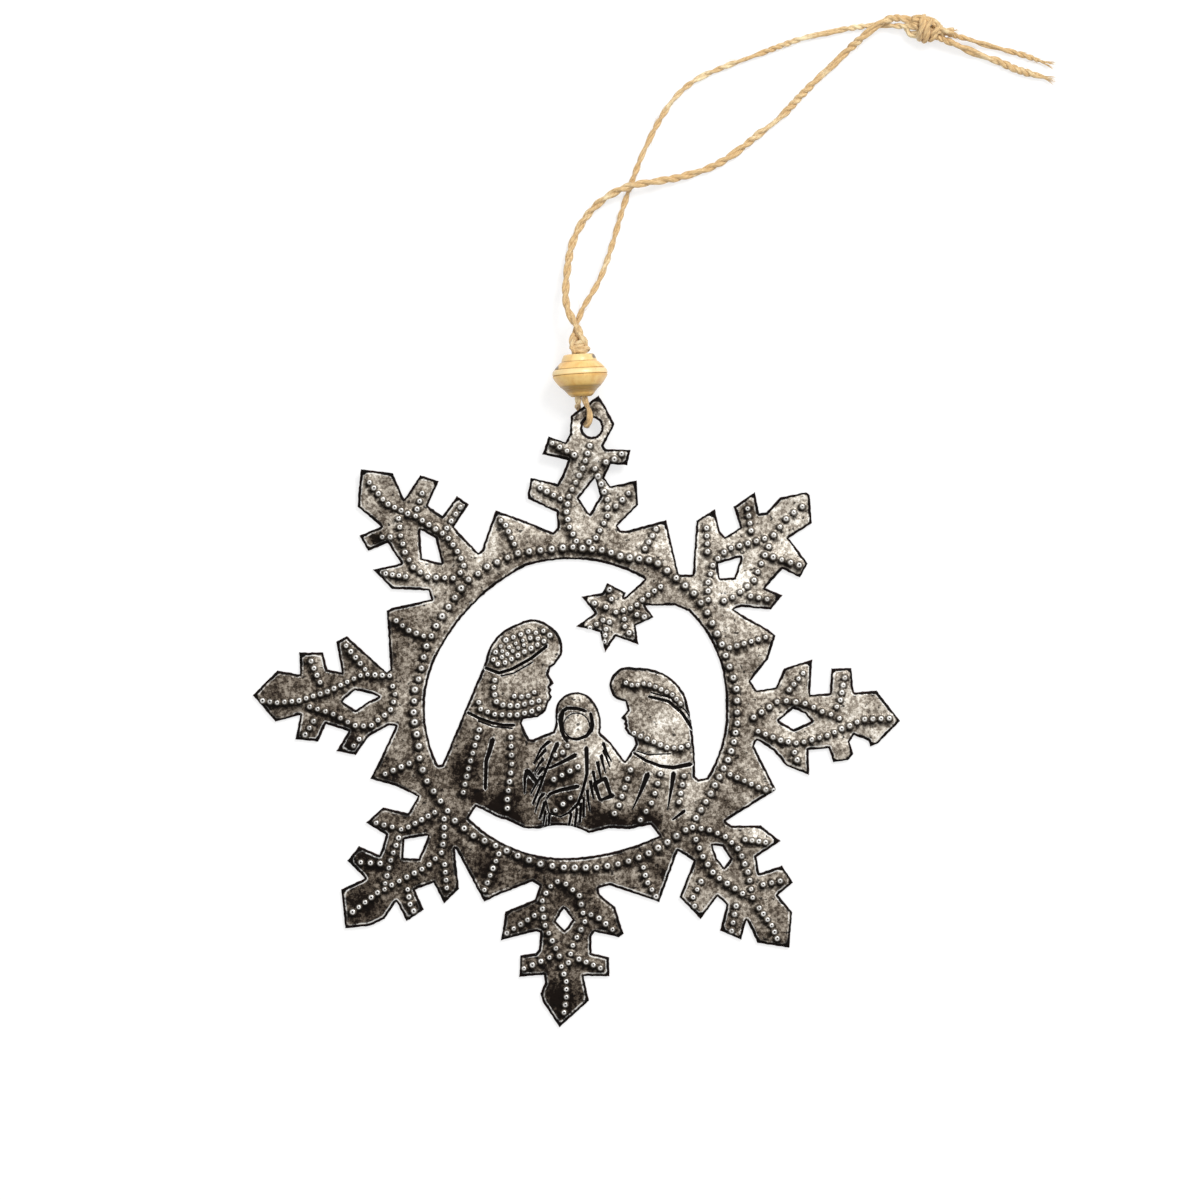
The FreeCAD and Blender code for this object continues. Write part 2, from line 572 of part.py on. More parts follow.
# The twine. A row of a route is a place in the photograph and the height of the twine's middle.
lying = 0.66
left_route = [
    (572.5, 322, 6.05), (567, 309, 5.1), (565.5, 296, 4.1), (567, 272, 2.5), (571, 247, 1.2),
    (579, 227, lying), (592, 209.5, 0.9),
    (606, 197.5, 1.9), (623, 189, 2.75), (643, 184.5, 2.75), (661, 181.5, 1.8), (680, 178, 0.9),
    (711, 168.5, lying), (734, 154.5, lying), (760, 133.5, lying), (781, 118, lying),
    (805, 91, lying), (832, 66, lying), (853, 46.5, 0.7), (870, 33, 1.1), (884, 26, 1.8),
]
right_route = [
    (577.5, 323, 4.4), (583, 309, 4.4), (589.5, 299, 4.2), (599, 283, 3.3), (607, 262, 2.2),
    (614.5, 238, 1.2), (622.5, 209, lying),
    (632, 181, lying), (643.5, 151.5, lying), (659, 120.5, lying), (676, 95.5, lying),
    (696, 79, lying), (723, 67.5, lying), (763, 53, lying), (798, 39.5, lying),
    (830, 30, 0.7), (858, 22.5, 1.1), (880, 16, 1.8),
]
upper_tail_route = [
    (966, 39.5, 1.6), (985, 45.5, 0.85), (1007, 51, lying), (1030, 57.5, lying),
    (1049.5, 65, lying),
]
lower_tail_route = [
    (963, 49, 1.5), (981, 56.5, 0.75), (998, 61.5, lying), (1013, 69, lying),
    (1031, 74.5, lying), (1049.5, 79, lying),
]
# From under the bead's foot round the sheet's edge, up through the hole and back
hitch_route = [
    (577, 405.5, 4.3), (575.5, 407.5, 2.5), (578.5, 408.5, 1.7), (583.5, 415, 1.6),
    (588, 421.5, 1.65), (591.2, 425.4, 2.3), (592.2, 426.2, 3.5), (591.3, 422, 4.5),
    (589, 412, 4.75),
]
half_spacing = size("strand_spacing") / 2
left_foot = bead_foot - bead_side * half_spacing
right_foot = bead_foot + bead_side * half_spacing
through_bead = stop_knot_foot - bead_foot
hitch_lead = bead_axis * size("hitch_lead")
crossing_turn = math.radians(50)
crossing_side = bead_side * math.cos(crossing_turn) + Vector(0, 0, 1) * math.sin(crossing_turn)
crossing_reach = crossing_side * (size("crossing_spacing") / 2)
crossing_lead = bead_axis * size("crossing_lead")
knot_lead = knot_axis * size("knot_lead")
knot_right = knot_side * half_spacing


def places(route):
    return [place(*row) for row in route]


def rounded_path(points, name):
    """Straight runs joined by tangent arcs, each as large as its two runs allow."""
    edges = []
    start = points[0]
    radii = []
    for before, corner, after in zip(points, points[1:], points[2:]):
        back = before - corner
        ahead = after - corner
        turn = math.pi - back.getAngle(ahead)
        reach = 0.45 * min(back.Length, ahead.Length)
        back.normalize()
        ahead.normalize()
        radius = reach / math.tan(turn / 2)
        bisector = (back + ahead).normalize()
        middle = corner + bisector * (radius / math.cos(turn / 2) - radius)
        edges.append(Part.LineSegment(start, corner + back * reach).toShape())
        edges.append(Part.Arc(corner + back * reach, middle, corner + ahead * reach).toShape())
        start = corner + ahead * reach
        radii.append(radius)
    edges.append(Part.LineSegment(start, points[-1]).toShape())
    path = Part.Wire(edges)
    print(name, "length %.1f" % path.Length, "radii", " ".join("%.1f" % r for r in radii))
    return path


twine_sides = 6


def twine(name, label, points):
    spine = shape_feature(name + "Route", rounded_path(points, label))
    section = doc.addObject("Part::RegularPolygon", name + "Section")
    section.Polygon = twine_sides
    section.setExpression("Circumradius", "Sizes.twine_diameter / 2")
    section.Placement = Placement(points[0], Rotation(Vector(0, 0, 1), points[1] - points[0]))
    tube = doc.addObject("Part::Sweep", name)
    tube.Sections = [section]
    tube.Spine = (spine, ["Edge%d" % number for number in range(1, len(spine.Shape.Edges) + 1)])
    tube.Solid = True
    tube.Label = label
    return tube


left_strand = twine("LeftStrand", "twine_left_strand", [
    stop_knot_top + crossing_reach, stop_knot_top + crossing_reach + crossing_lead,
    *places(left_route),
    knot_entry + knot_right - knot_lead, knot_entry + knot_right,
])
right_strand = twine("RightStrand", "twine_right_strand", [
    stop_knot_top - crossing_reach, stop_knot_top - crossing_reach + crossing_lead,
    *places(right_route),
    knot_entry - knot_right - knot_lead, knot_entry - knot_right,
])
upper_tail = twine("UpperTail", "twine_upper_tail", [
    knot_exit - knot_right, knot_exit - knot_right + knot_lead, *places(upper_tail_route),
])
lower_tail = twine("LowerTail", "twine_lower_tail", [
    knot_exit + knot_right, knot_exit + knot_right + knot_lead, *places(lower_tail_route),
])
hitch = twine("TwineHitch", "twine_hitch", [
    left_foot + through_bead, left_foot - hitch_lead, *places(hitch_route),
    right_foot - hitch_lead, right_foot + through_bead,
])
doc.recompute()


def check(item):
    if "Invalid" in item.State or "Error" in item.State:
        raise RuntimeError("%s failed: %s" % (item.Name, item.State))


for item in doc.Objects:
    check(item)

side_turn = 2 * math.pi / twine_sides
section_area = twine_sides * math.sin(side_turn) * size("twine_diameter") ** 2 / 8
for tube in (left_strand, right_strand, upper_tail, lower_tail, hitch):
    expected = section_area * tube.Spine[0].Shape.Length
    print(tube.Label, "volume %.2f of %.2f" % (tube.Shape.Volume, expected))

parts = [plate, bead, hitch, stop_knot, left_strand, right_strand, knot, upper_tail, lower_tail]
os.makedirs("parts", exist_ok=True)
for part in parts:
    if part.Shape.isNull() or not part.Shape.isValid():
        raise RuntimeError("%s has no valid shape" % part.Label)
    part.Shape.exportStep("parts/%s.step" % part.Label)
    print(part.Label, "solids %d volume %.1f" % (len(part.Shape.Solids), part.Shape.Volume))
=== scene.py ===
import random
from math import cos, dist, exp, hypot, pi, radians, sin

import bmesh
import bpy
import numpy as np
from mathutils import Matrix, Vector, geometry, kdtree, noise


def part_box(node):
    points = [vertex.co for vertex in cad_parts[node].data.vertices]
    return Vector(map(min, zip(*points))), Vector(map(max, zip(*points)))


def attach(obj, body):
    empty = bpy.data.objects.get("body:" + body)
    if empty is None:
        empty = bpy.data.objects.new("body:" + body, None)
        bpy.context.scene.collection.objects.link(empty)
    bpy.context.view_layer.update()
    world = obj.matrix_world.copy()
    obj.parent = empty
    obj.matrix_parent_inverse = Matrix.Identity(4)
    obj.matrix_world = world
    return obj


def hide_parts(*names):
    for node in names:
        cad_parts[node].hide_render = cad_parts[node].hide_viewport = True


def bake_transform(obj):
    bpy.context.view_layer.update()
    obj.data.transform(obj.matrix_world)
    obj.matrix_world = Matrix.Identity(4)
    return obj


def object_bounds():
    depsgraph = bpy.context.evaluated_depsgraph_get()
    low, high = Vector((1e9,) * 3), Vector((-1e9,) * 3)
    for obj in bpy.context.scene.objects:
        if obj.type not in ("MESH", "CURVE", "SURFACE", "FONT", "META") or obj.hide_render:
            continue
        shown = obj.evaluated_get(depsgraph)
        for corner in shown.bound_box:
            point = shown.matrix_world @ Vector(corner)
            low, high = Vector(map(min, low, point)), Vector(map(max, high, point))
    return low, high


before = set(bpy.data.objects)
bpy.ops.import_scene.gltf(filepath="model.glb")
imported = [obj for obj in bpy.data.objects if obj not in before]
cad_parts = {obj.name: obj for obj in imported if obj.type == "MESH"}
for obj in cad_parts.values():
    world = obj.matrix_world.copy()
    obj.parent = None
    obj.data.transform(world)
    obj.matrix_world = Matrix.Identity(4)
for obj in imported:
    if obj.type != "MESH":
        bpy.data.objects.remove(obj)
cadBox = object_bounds()
print("frame loaded")

# Places are read in the photograph, in its own pixels. The plate's two side tips give the scale.
photo = {"middle": (575, 708.5), "leftTip": 252.5, "rightTip": 900.5, "width": 1200}
plateLow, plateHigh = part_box("snowflake_plate")
pixel = (plateHigh.x - plateLow.x) / (photo["rightTip"] - photo["leftTip"])
mm = 0.001
up = Vector((0, 0, 1))


def place(x, y, height=0.0):
    return Vector(((x - photo["middle"][0]) * pixel, (photo["middle"][1] - y) * pixel, height * mm))


def smooth(low, high, value):
    share = np.clip((value - low) / (high - low), 0, 1)
    return share * share * (3 - 2 * share)


def sideOf(axis):  # across an axis, level with the table
    return Vector((axis.y, -axis.x, 0))


def wayAt(first, second, angle):  # a direction between two, an angle from the first
    return first * cos(angle) + second * sin(angle)


def newObject(name, data):
    made = bpy.data.objects.new(name, data)
    bpy.context.scene.collection.objects.link(made)
    return made


# Camera, straight down over the middle of the picture
view = {"height": 0.9, "sensor": 36, "reach": 10}
camera = newObject("camera", bpy.data.cameras.new("camera"))
camera.data.sensor_width = view["sensor"]
camera.data.lens = view["sensor"] * view["height"] / (photo["width"] * pixel)
camera.location = place(photo["width"] / 2, photo["width"] / 2) + up * view["height"]
camera.data.clip_end = view["reach"]
bpy.context.scene.camera = camera


class Wire:  # one output socket, so that shader maths reads as sums
    def __init__(self, finish, socket):
        self.finish = finish
        self.socket = socket

    def math(self, operation, first, second):
        return self.finish.node("Math", {"operation": operation}, {0: first, 1: second})

    def __add__(self, other):
        return self.math("ADD", self, other)

    def __sub__(self, other):
        return self.math("SUBTRACT", self, other)

    def __mul__(self, other):
        return self.math("MULTIPLY", self, other)

    def __radd__(self, other):
        return self.math("ADD", other, self)


class Finish:  # a material, or the world, and its nodes
    def __init__(self, owner):
        self.owner = owner
        owner.use_nodes = True
        self.tree = owner.node_tree

    def node(self, kind, settings=None, sockets=None, output=0):
        made = self.tree.nodes.new("ShaderNode" + kind)
        for name, value in (settings or {}).items():
            if name == "stops":
                while len(made.color_ramp.elements) < len(value):
                    made.color_ramp.elements.new(0.5)
                for element, (position, colour) in zip(made.color_ramp.elements, value):
                    element.position = position
                    element.color = colour if isinstance(colour, tuple) else (colour,) * 3 + (1,)
            else:
                setattr(made, name, value)
        for name, value in (sockets or {}).items():
            self.feed(made.inputs[name], value)
        return Wire(self, made.outputs[output])

    def feed(self, socket, value):
        if isinstance(value, Wire):
            self.tree.links.new(value.socket, socket)
        else:
            socket.default_value = value

    def shade(self, sockets):
        for name, value in sockets.items():
            self.feed(self.tree.nodes["Principled BSDF"].inputs[name], value)

    def mix(self, factor, first, second):
        sockets = {0: factor, 6: first, 7: second}
        return self.node("Mix", {"data_type": "RGBA"}, sockets, 2)

    def ramp(self, value, stops):
        return self.node("ValToRGB", {"stops": stops}, {0: value})

    def level(self, value, low, high, start=0.0, end=1.0):
        sockets = {0: value, 1: low, 2: high, 3: start, 4: end}
        return self.node("MapRange", {"interpolation_type": "SMOOTHSTEP"}, sockets)

    def band(self, value, low, full, high, over):  # rises from low to full, falls to over
        return self.level(value, low, full) * self.level(value, over, high)

    def attribute(self, name):
        return self.node("Attribute", {"attribute_name": name}, output=2)

    def noise(self, where, scale, detail=3.0, roughness=0.55):
        sockets = {"Vector": where, "Scale": scale, "Detail": detail, "Roughness": roughness}
        return self.node("TexNoise", None, sockets)

    def spots(self, where, scale, detail, roughness, low, high):
        return self.level(self.noise(where, scale, detail, roughness), low, high)

    def bump(self, height, strength, distance):
        sockets = {"Strength": strength, "Distance": distance, "Height": height}
        return self.node("Bump", None, sockets)


def colour(red, green, blue):
    return (red, green, blue, 1)


def ringFaces(lower, upper, count):  # between two rings, by their first points' numbers
    steps = [(step, (step + 1) % count) for step in range(count)]
    return [(lower + step, lower + ahead, upper + ahead, upper + step) for step, ahead in steps]


def meshPiece(name, points, faces, material, **attributes):
    mesh = bpy.data.meshes.new(name)
    mesh.from_pydata([tuple(point) for point in points], [], faces)
    mesh.update()
    for key, values in attributes.items():
        layer = mesh.attributes.new(key, "FLOAT", "POINT")
        layer.data.foreach_set("value", np.asarray(values, np.float32))
    mesh.polygons.foreach_set("use_smooth", [True] * len(mesh.polygons))
    mesh.materials.append(material)
    return newObject(name, mesh)


# Worked steel: brown patina, rubbed bright on the raised places, with painted reflections there
# too, and painted light making it brighter towards the window; painted highlights lie on edges,
# burrs and bead tops, and painted shade on and round the beads and along the cut edge
steelLook = {
    # Near black: in pits, grooves and a bead's eye, as painted shade round the beads, and with
    # oxide as painted shade along the cut edge
    "hollowAndShade": colour(0.004, 0.003, 0.0025),
    "tones": [
        (0.0, colour(0.008, 0.005, 0.0035)), (0.28, colour(0.084, 0.065, 0.048)),
        (0.55, colour(0.28, 0.240, 0.195)), (0.8, colour(0.60, 0.545, 0.465)),
        (1.0, colour(0.93, 0.895, 0.83)),
    ],
    # Painted shade on the beads' sides
    "side": colour(0.135, 0.112, 0.088),
    # Painted highlight along the rounded edge, on the burrs beside the grooves and round the beads'
    # tops
    "paintedHighlight": colour(0.95, 0.94, 0.91),
    "rust": colour(0.07, 0.022, 0.014),
    # Noise: scale, detail, roughness, and the values that count as none and as full
    "clouds": (70, 4, 0.6, 0.36, 0.64),
    "patches": (330, 5, 0.66, 0.37, 0.63),
    "specks": (1500, 4, 0.7, 0.38, 0.62),
    "pits": (900, 2, 0.5, 0.64, 0.69),
    "grain": (4200, 3, 0.6),
    # Where a layer starts, is full, and ends again: mm from the edge, half widths of a groove,
    # radii of a bead. A share is a layer's strength: the noise at both ends, and both strengths.
    # Painted highlights lie along the rounded edge, beside the grooves and round the beads' tops;
    # painted shade lies on the beads' sides, round the beads and, with oxide, along the cut edge
    "rim": (0.44, 0.54, 0.62, 0.80),
    "rimShare": (0.55, 1.1, 0.05, 0.6),
    "edgeDark": (0.57, 0.40),
    "edgeRust": (0.16, 0.04),
    "burr": (1.0, 1.15, 1.3, 1.6),
    "burrShare": (0.2, 0.8, 0.1, 0.65),
    "groove": (1.15, 0.9),
    "flankShade": (1.06, 0.92, 0.62, 0.44),
    "ring": (0.20, 0.33, 0.52, 0.72),
    "ringShare": (0.0, 0.8, 0.5, 0.85),
    "eye": (0.35, 0.20),
    "eyeShare": (0.2, 0.9, 0.25, 0.9),
    "bright": (0.40, 0.60),  # direction in which painted light makes the sheet brighter
    "spread": 150,  # mm along that way for the whole range
    "middle": 0.43,
    # How much the rubbed places, with their painted reflections, lighten the sheet, and how much
    # the darkest places darken it
    "rubAndReflection": 0.30,
    "darkSpot": 0.55,
    "spotFall": 1.2,  # how fast the rubbed places with their painted reflections, and the darkest places, fade
    "metallic": 0.55,
    "bump": (0.45, 0.00010),  # strength and distance
    "specular": 0.08,
}


def steelMaterial():
    look = steelLook
    steel = Finish(bpy.data.materials.new("workedSteel"))
    where = steel.node("TexCoord", output=3)
    clouds, patches, specks, pits = [
        steel.spots(where, *look[name]) for name in ("clouds", "patches", "specks", "pits")]
    grain = steel.noise(where, *look["grain"])
    bead, halo, edge, groove, light = [
        steel.attribute(name) for name in
        ("beadReach", "halo", "edgeReach", "grooveReach", "light")]
    wander = edge + (patches - 0.5) * 0.24
    ring = steel.band(bead, *look["ring"])
    # The light attribute brings painted light towards the window and painted reflections on the
    # rubbed places; a bead's painted shade ring darkens the tone
    tone = light + clouds * 0.20 + patches * 0.24 + specks * 0.38 - 0.38
    tone = steel.ramp(tone - halo * 0.30, look["tones"])
    layers = [
        (pits * 0.85, "hollowAndShade"),
        # painted highlight along the rounded edge
        (steel.band(edge, *look["rim"]) * steel.level(clouds + specks * 0.6, *look["rimShare"]),
         "paintedHighlight"),
        # oxide and painted shade along the cut edge
        (steel.level(wander, *look["edgeDark"]), "hollowAndShade"),
        (steel.level(wander, *look["edgeRust"]) * patches, "rust"),
        # painted highlight on the burr beside a groove
        (steel.band(groove, *look["burr"]) * steel.level(specks, *look["burrShare"]), "paintedHighlight"),
        (steel.level(groove, *look["groove"]), "hollowAndShade"),
        # painted shade on a bead's side
        (steel.band(bead, *look["flankShade"]) * 0.7, "side"),
        # painted shade round a bead, darkest on the side away from the window
        (halo, "hollowAndShade"),
        # painted highlight round a bead's top
        (ring * steel.level(patches, *look["ringShare"]), "paintedHighlight"),
        (steel.level(bead, *look["eye"]) * steel.level(patches, *look["eyeShare"]), "hollowAndShade"),
    ]
    for amount, over in layers:
        tone = steel.mix(amount, tone, look[over])
    rough = 0.38 + halo * 0.20 + patches * 0.14 - ring * 0.10
    bump = steel.bump(patches * 0.35 + specks * 0.45 + grain * 0.25, *look["bump"])
    steel.shade({"Base Color": tone, "Roughness": rough, "Normal": bump,
                 "Metallic": look["metallic"], "Specular IOR Level": look["specular"]})
    return steel.owner


# The plate: the outline comes from the CAD plate's back, the beads from its punched points.
# Lengths are in mm, and shares are of a bead's radius where nothing else is said.
plateLook = {
    "thickness": 1.0,
    "backNormal": -0.5,  # faces that look down more than this are the back
    "topSlopes": (0.2, 0.93),
    "outlineStep": 0.42,
    "chiselStep": 1.7,
    "bites": (0.02, 0.75, 0.35),  # of the chisel into the edge: least, rhythm and chance
    "ragged": 0.17,
    "sideOut": (-0.03, 0.05),  # the middle of the cut side, least and most
    "sideHeight": (0.35, 0.55),
    # Points of the top: rings with their counts, lines at shares of a groove's half width, a row
    # along the edge, and a grid, each with its least distance from the edge
    "beadRings": [
        (0.12, 5), (0.24, 7), (0.43, 8), (0.62, 9), (0.82, 10), (0.98, 11), (1.12, 12), (1.32, 11),
    ],
    "grooveStep": 0.3,
    "grooveShifts": (0, -1, 1, -1.7, 1.7),
    "edgeRow": 0.24,
    "margins": (0.14, 0.14, 0.17),
    "grid": (0.66, 0.4, 0.3, 1.4),  # step, margin, gap, and share round a bead that stays free
    "gridWander": 0.1,
    "gap": 0.07,  # the least distance of two points
    "chord": 0.3,  # a longer triangle edge from rim to rim is divided
    "backRings": [(0.35, 5), (0.72, 7)],
    "backStep": 1.5,
    "backMargins": (0.2, 0.6),
    "backGap": 0.16,
    "bigBead": (0.86, 0.50),  # radius and height
    "smallBead": (0.73, 0.40),
    "bigFrom": 0.45,  # the height that tells a large bead
    "beadVary": 0.12,
    "beadGap": 0.75,  # of two beads closer than this, one is left out
    "nearShare": 0.55,  # a bead reaches this share of the way to its neighbour
    "domePower": 2.3,
    "eye": (0.28, 0.06),
    "eyeDepth": 0.17,  # share of a bead's height
    "moat": (0.09, 0.5),  # depth and width
    "edgeDrop": (0.15, 0.5),  # how much, and from how far
    "waves": [(0.11, 0.20), (0.42, 0.07), (1.3, 0.025)],  # waves in a mm, and their height
    "waveSeed": 9.1,
    "pillow": (0.16, 4.5),  # how much the fields swell, and how far from an edge
    "stroke": (0.17, 0.30),  # depth of the thinnest and of the widest chisel mark
    "strokeReach": 1.15,
    "farAway": 9,  # half widths, where no groove is near
    "dimple": (0.62, 0.42),  # radius and depth on the back
    "window": (0.42, 0.91),  # direction of the light over the sheet
    # A bead's ring of painted shade and how it changes towards the window, where it is narrower and
    # fainter: start, end, softness, strength
    "halo": ((0.97, 0.09), (1.32, -0.24), (0.16, 0.06, 0.84), (0.70, -0.42)),
    "sharp": radians(62),
    "backLight": 0.25,
}

# Chisel lines on the figures: half a line's width at its first place and at its last, and its
# places, all in pixels
strokes = [
    # His turban
    (1.6, 1.6, (486, 668), (499, 673), (512, 669), (531, 658.5), (547.5, 645.5)),
    (0.8, 0.8, (501, 676), (514, 673), (533, 662)),
    # His collar
    (1.5, 1.5, (468, 712.5), (479, 718), (491.5, 722.5), (503, 725), (515, 725)),
    (0.7, 0.7, (478, 721), (493, 726.5), (513, 728.5)),
    # His robe
    (2.4, 1.6, (492.8, 739.5), (489.8, 750.7), (486.3, 760.8), (485.4, 789)),
    # Child's hood
    (1.8, 1.6, (563.4, 710.7), (567.2, 708), (576.8, 708.4), (584.4, 710.7)),
    (2.6, 1.5, (561.5, 714.9), (560.7, 720.6), (561.1, 724.4), (561.5, 730.2), (564.2, 737.1),
     (567.2, 741.3)),
    (1.6, 2.1, (590.6, 713.3), (591.7, 718.7), (592.5, 724.4), (591.3, 730.2)),
    (2.0, 1.2, (591.3, 730.2), (586.4, 735.9), (576.8, 739.4), (567.2, 737.6)),
    # Its wraps
    (2.3, 1.2, (575.5, 755), (563, 761.5), (549.5, 768)),
    (2.1, 1.2, (577, 786.4), (560, 790), (550.3, 793.4), (546.8, 798.2)),
    (0.7, 0.7, (546, 800), (549, 813), (561, 817)),
    # Her hood
    (1.5, 1.8, (649, 696.5), (668, 701), (682, 713), (692, 728)),
    (0.8, 0.8, (651, 692.5), (669.5, 697.5), (684.5, 709.5), (694, 722)),
    (1.3, 2.2, (634, 753), (646, 760.5), (660.5, 766), (673.5, 767.5), (690.5, 764)),
    (0.7, 0.7, (637, 751), (648, 754.5), (671, 753.5)),
    # Her robe
    (2.7, 0.6, (647.5, 774.5), (641, 791), (632.5, 809)),
    (2.5, 0.6, (673.5, 773.5), (671, 790), (667.5, 810)), (1.8, 0.9, (684, 811), (672, 820)),
    # Straw
    (1.8, 0.6, (548.5, 741.8), (541, 748.5), (533.7, 763)),
    (1.8, 0.6, (545.6, 749.8), (540, 756), (534.9, 763.2)),
    (1.7, 0.6, (543.2, 759), (539, 764), (534.3, 772.7)),
    (1.7, 1.2, (543.2, 767.9), (537.9, 774.4)),
    (2.3, 1.5, (557.4, 743.6), (553.3, 752.5), (549.7, 761.4)),
    (1.4, 1.3, (549.7, 761.4), (546.8, 768.5), (543.2, 777.4), (540.2, 786.3), (533.1, 803.5)),
    (2.4, 0.7, (527.2, 770.9), (524.8, 778), (524.8, 794.6)),
    (2.2, 2.0, (527.8, 770.9), (536.7, 781.6)),
    (1.4, 0.8, (540.8, 776.8), (536.7, 782.8), (530.8, 794)),
    (1.8, 0.8, (543.2, 794), (539.6, 798), (535.5, 811.2)), (1.8, 1.2, (545, 802.3), (539.6, 819)),
    (1.3, 0.8, (545.5, 811), (543, 826.5)), (1.4, 0.9, (549.5, 815), (548.5, 828)),
    (2.3, 1.8, (586.4, 748.2), (586.7, 757.6), (587, 772.9)),
    (1.6, 1.4, (587, 772.9), (585.2, 781.1), (582.3, 791.6), (578.2, 803.4)),
    (1.6, 0.8, (578.2, 803.4), (569.4, 812.2), (561.2, 816.3)),
    (1.8, 0.7, (603.4, 743.5), (606.4, 751.7), (611.6, 761.7)),
    (1.6, 0.7, (603.7, 751.2), (606.4, 757.6), (609.9, 767)),
    (1.9, 0.7, (601.1, 755.3), (602.8, 763.5), (605.5, 772.9)),
    (1.9, 1.0, (597.6, 762.3), (599, 769.3), (600.8, 777.6)),
    (1.7, 1.0, (593.2, 771.7), (595.2, 782.3)),
    (1.8, 0.9, (590.5, 781.1), (592, 791.1), (593.7, 798.7)),
    (1.7, 0.7, (587.3, 790.5), (588.2, 799.9), (589.9, 811.6)),
    (1.3, 1.2, (583.8, 797.5), (583.8, 816.9)), (1.2, 1.2, (580.8, 803.4), (580, 822.2)),
    (1.5, 1.3, (577, 809.2), (574.7, 827.4)), (1.5, 1.2, (571.2, 813.9), (568.8, 826.3)),
    (2.2, 1.6, (595.2, 783.4), (604.6, 778.1)), (2.2, 1.7, (605.2, 778.7), (610.5, 794.6)),
    (1.3, 2.3, (601.1, 799.9), (612.8, 795.2)), (2.2, 1.5, (594.9, 785.2), (600.5, 801)),
]
childFace = {"middle": (576.5, 726), "reach": 13, "line": 0.6, "start": 0.1, "sides": 24}

# Where the patina is rubbed off most, with painted reflections there, and where the sheet is
# darkest: place and reach in pixels
rubbedAndReflecting = [
    (604, 757, 16), (643, 680, 12), (662, 719, 14), (661, 757, 15), (690, 797, 14), (580, 700, 9),
    (574, 727, 11), (498, 744, 9), (549, 656, 8), (575, 430, 9), (541, 490, 9), (426, 573, 12),
    (395, 520, 8), (478, 550, 12), (757, 832, 12), (741, 580, 12),
]
stained = [
    (505, 807, 19), (534, 781, 11), (596, 822, 16), (643, 822, 14), (565, 802, 9), (566, 774, 9),
    (621, 725, 9), (376, 538, 9), (351, 747, 10), (722, 690, 7), (727, 730, 7), (716, 645, 6),
    (592, 412, 9), (573, 417, 8), (749, 508, 10), (372, 855, 13), (366, 905, 15), (490, 870, 14),
    (665, 870, 11), (610, 585, 8), (563, 1000, 17), (463, 768, 11), (478, 797, 7), (492, 811, 7),
    (514, 824, 9), (548, 824, 8), (620, 826, 9), (650, 826, 8),
]


def cadPlate(node):
    shape = bmesh.new()
    shape.from_mesh(node.data)
    bmesh.ops.remove_doubles(shape, verts=shape.verts, dist=1e-6)
    shape.normal_update()
    back = [face for face in shape.faces if face.normal.z < plateLook["backNormal"]]
    inBack = set(back)
    following = {}
    rise = {}
    for face in back:
        for loop in face.loops:
            rise[round(loop.vert.co.y / mm, 3)] = loop.vert.co.z / mm
            if not any(other in inBack for other in loop.edge.link_faces if other is not face):
                following[loop.vert] = loop.link_loop_next.vert
    outlines = []
    while following:
        start, vert = following.popitem()
        outline = [start.co.xy / mm]
        while vert is not start:
            outline.append(vert.co.xy / mm)
            vert = following.pop(vert)
        outlines.append(np.array(outline))
    beads = []
    steep, flat = plateLook["topSlopes"]
    for vert in shape.verts:
        slopes = [face.normal.z for face in vert.link_faces]
        around = [edge.other_vert(vert).co.z for edge in vert.link_edges]
        if slopes and min(slopes) > steep and max(slopes) < flat and vert.co.z > max(around):
            beads.append(tuple(length / mm for length in vert.co))
    shape.free()
    apart = []
    for bead in beads:
        if all(dist(bead[:2], other[:2]) > plateLook["beadGap"] for other in apart):
            apart.append(bead)
    print("punched beads", len(beads), "kept", len(apart))
    distances = np.array(sorted(rise))
    heights = np.array([rise[distance] for distance in distances])
    return outlines, (distances, heights), np.array(apart)


def raggedOutline(outline, seed):
    look = plateLook
    points = []
    for start, end in zip(outline, np.roll(outline, -1, axis=0)):
        parts = max(1, round(np.linalg.norm(end - start) / look["outlineStep"]))
        points += [start + (end - start) * part / parts for part in range(parts)]
    points = np.array(points)
    ahead = np.roll(points, -1, axis=0) - np.roll(points, 1, axis=0)
    ahead /= np.linalg.norm(ahead, axis=1)[:, None]
    inward = np.column_stack([ahead[:, 1], -ahead[:, 0]])
    bites = []
    least, rhythm, chance = look["bites"]
    for number in range(len(points)):
        distance = number * look["outlineStep"] / look["chiselStep"]
        mark = abs(sin(pi * distance + 2 * noise.noise((distance * 0.3, seed, 0))))
        mark *= 0.5 + 0.5 * noise.noise((distance * 0.7, seed, 5))
        bites.append(least + look["ragged"] * (rhythm * mark + chance * random.random()))
    return points + inward * np.array(bites)[:, None], inward


def isInside(points, outlines):
    crossings = np.zeros(len(points), int)
    for outline in outlines:
        for (x, y), (nextX, nextY) in zip(outline, np.roll(outline, -1, axis=0)):
            if y != nextY:
                spans = (y > points[:, 1]) != (nextY > points[:, 1])
                share = (points[:, 1] - y) / (nextY - y)
                crossings += spans & (points[:, 0] < x + share * (nextX - x))
    return crossings % 2 == 1


def treeOf(points):
    tree = kdtree.KDTree(len(points))
    for number, point in enumerate(points):
        tree.insert((point[0], point[1], 0), number)
    tree.balance()
    return tree


def nearest(points, tree):
    found = [tree.find((x, y, 0)) for x, y in points]
    return np.array([row[2] for row in found]), np.array([row[1] for row in found])


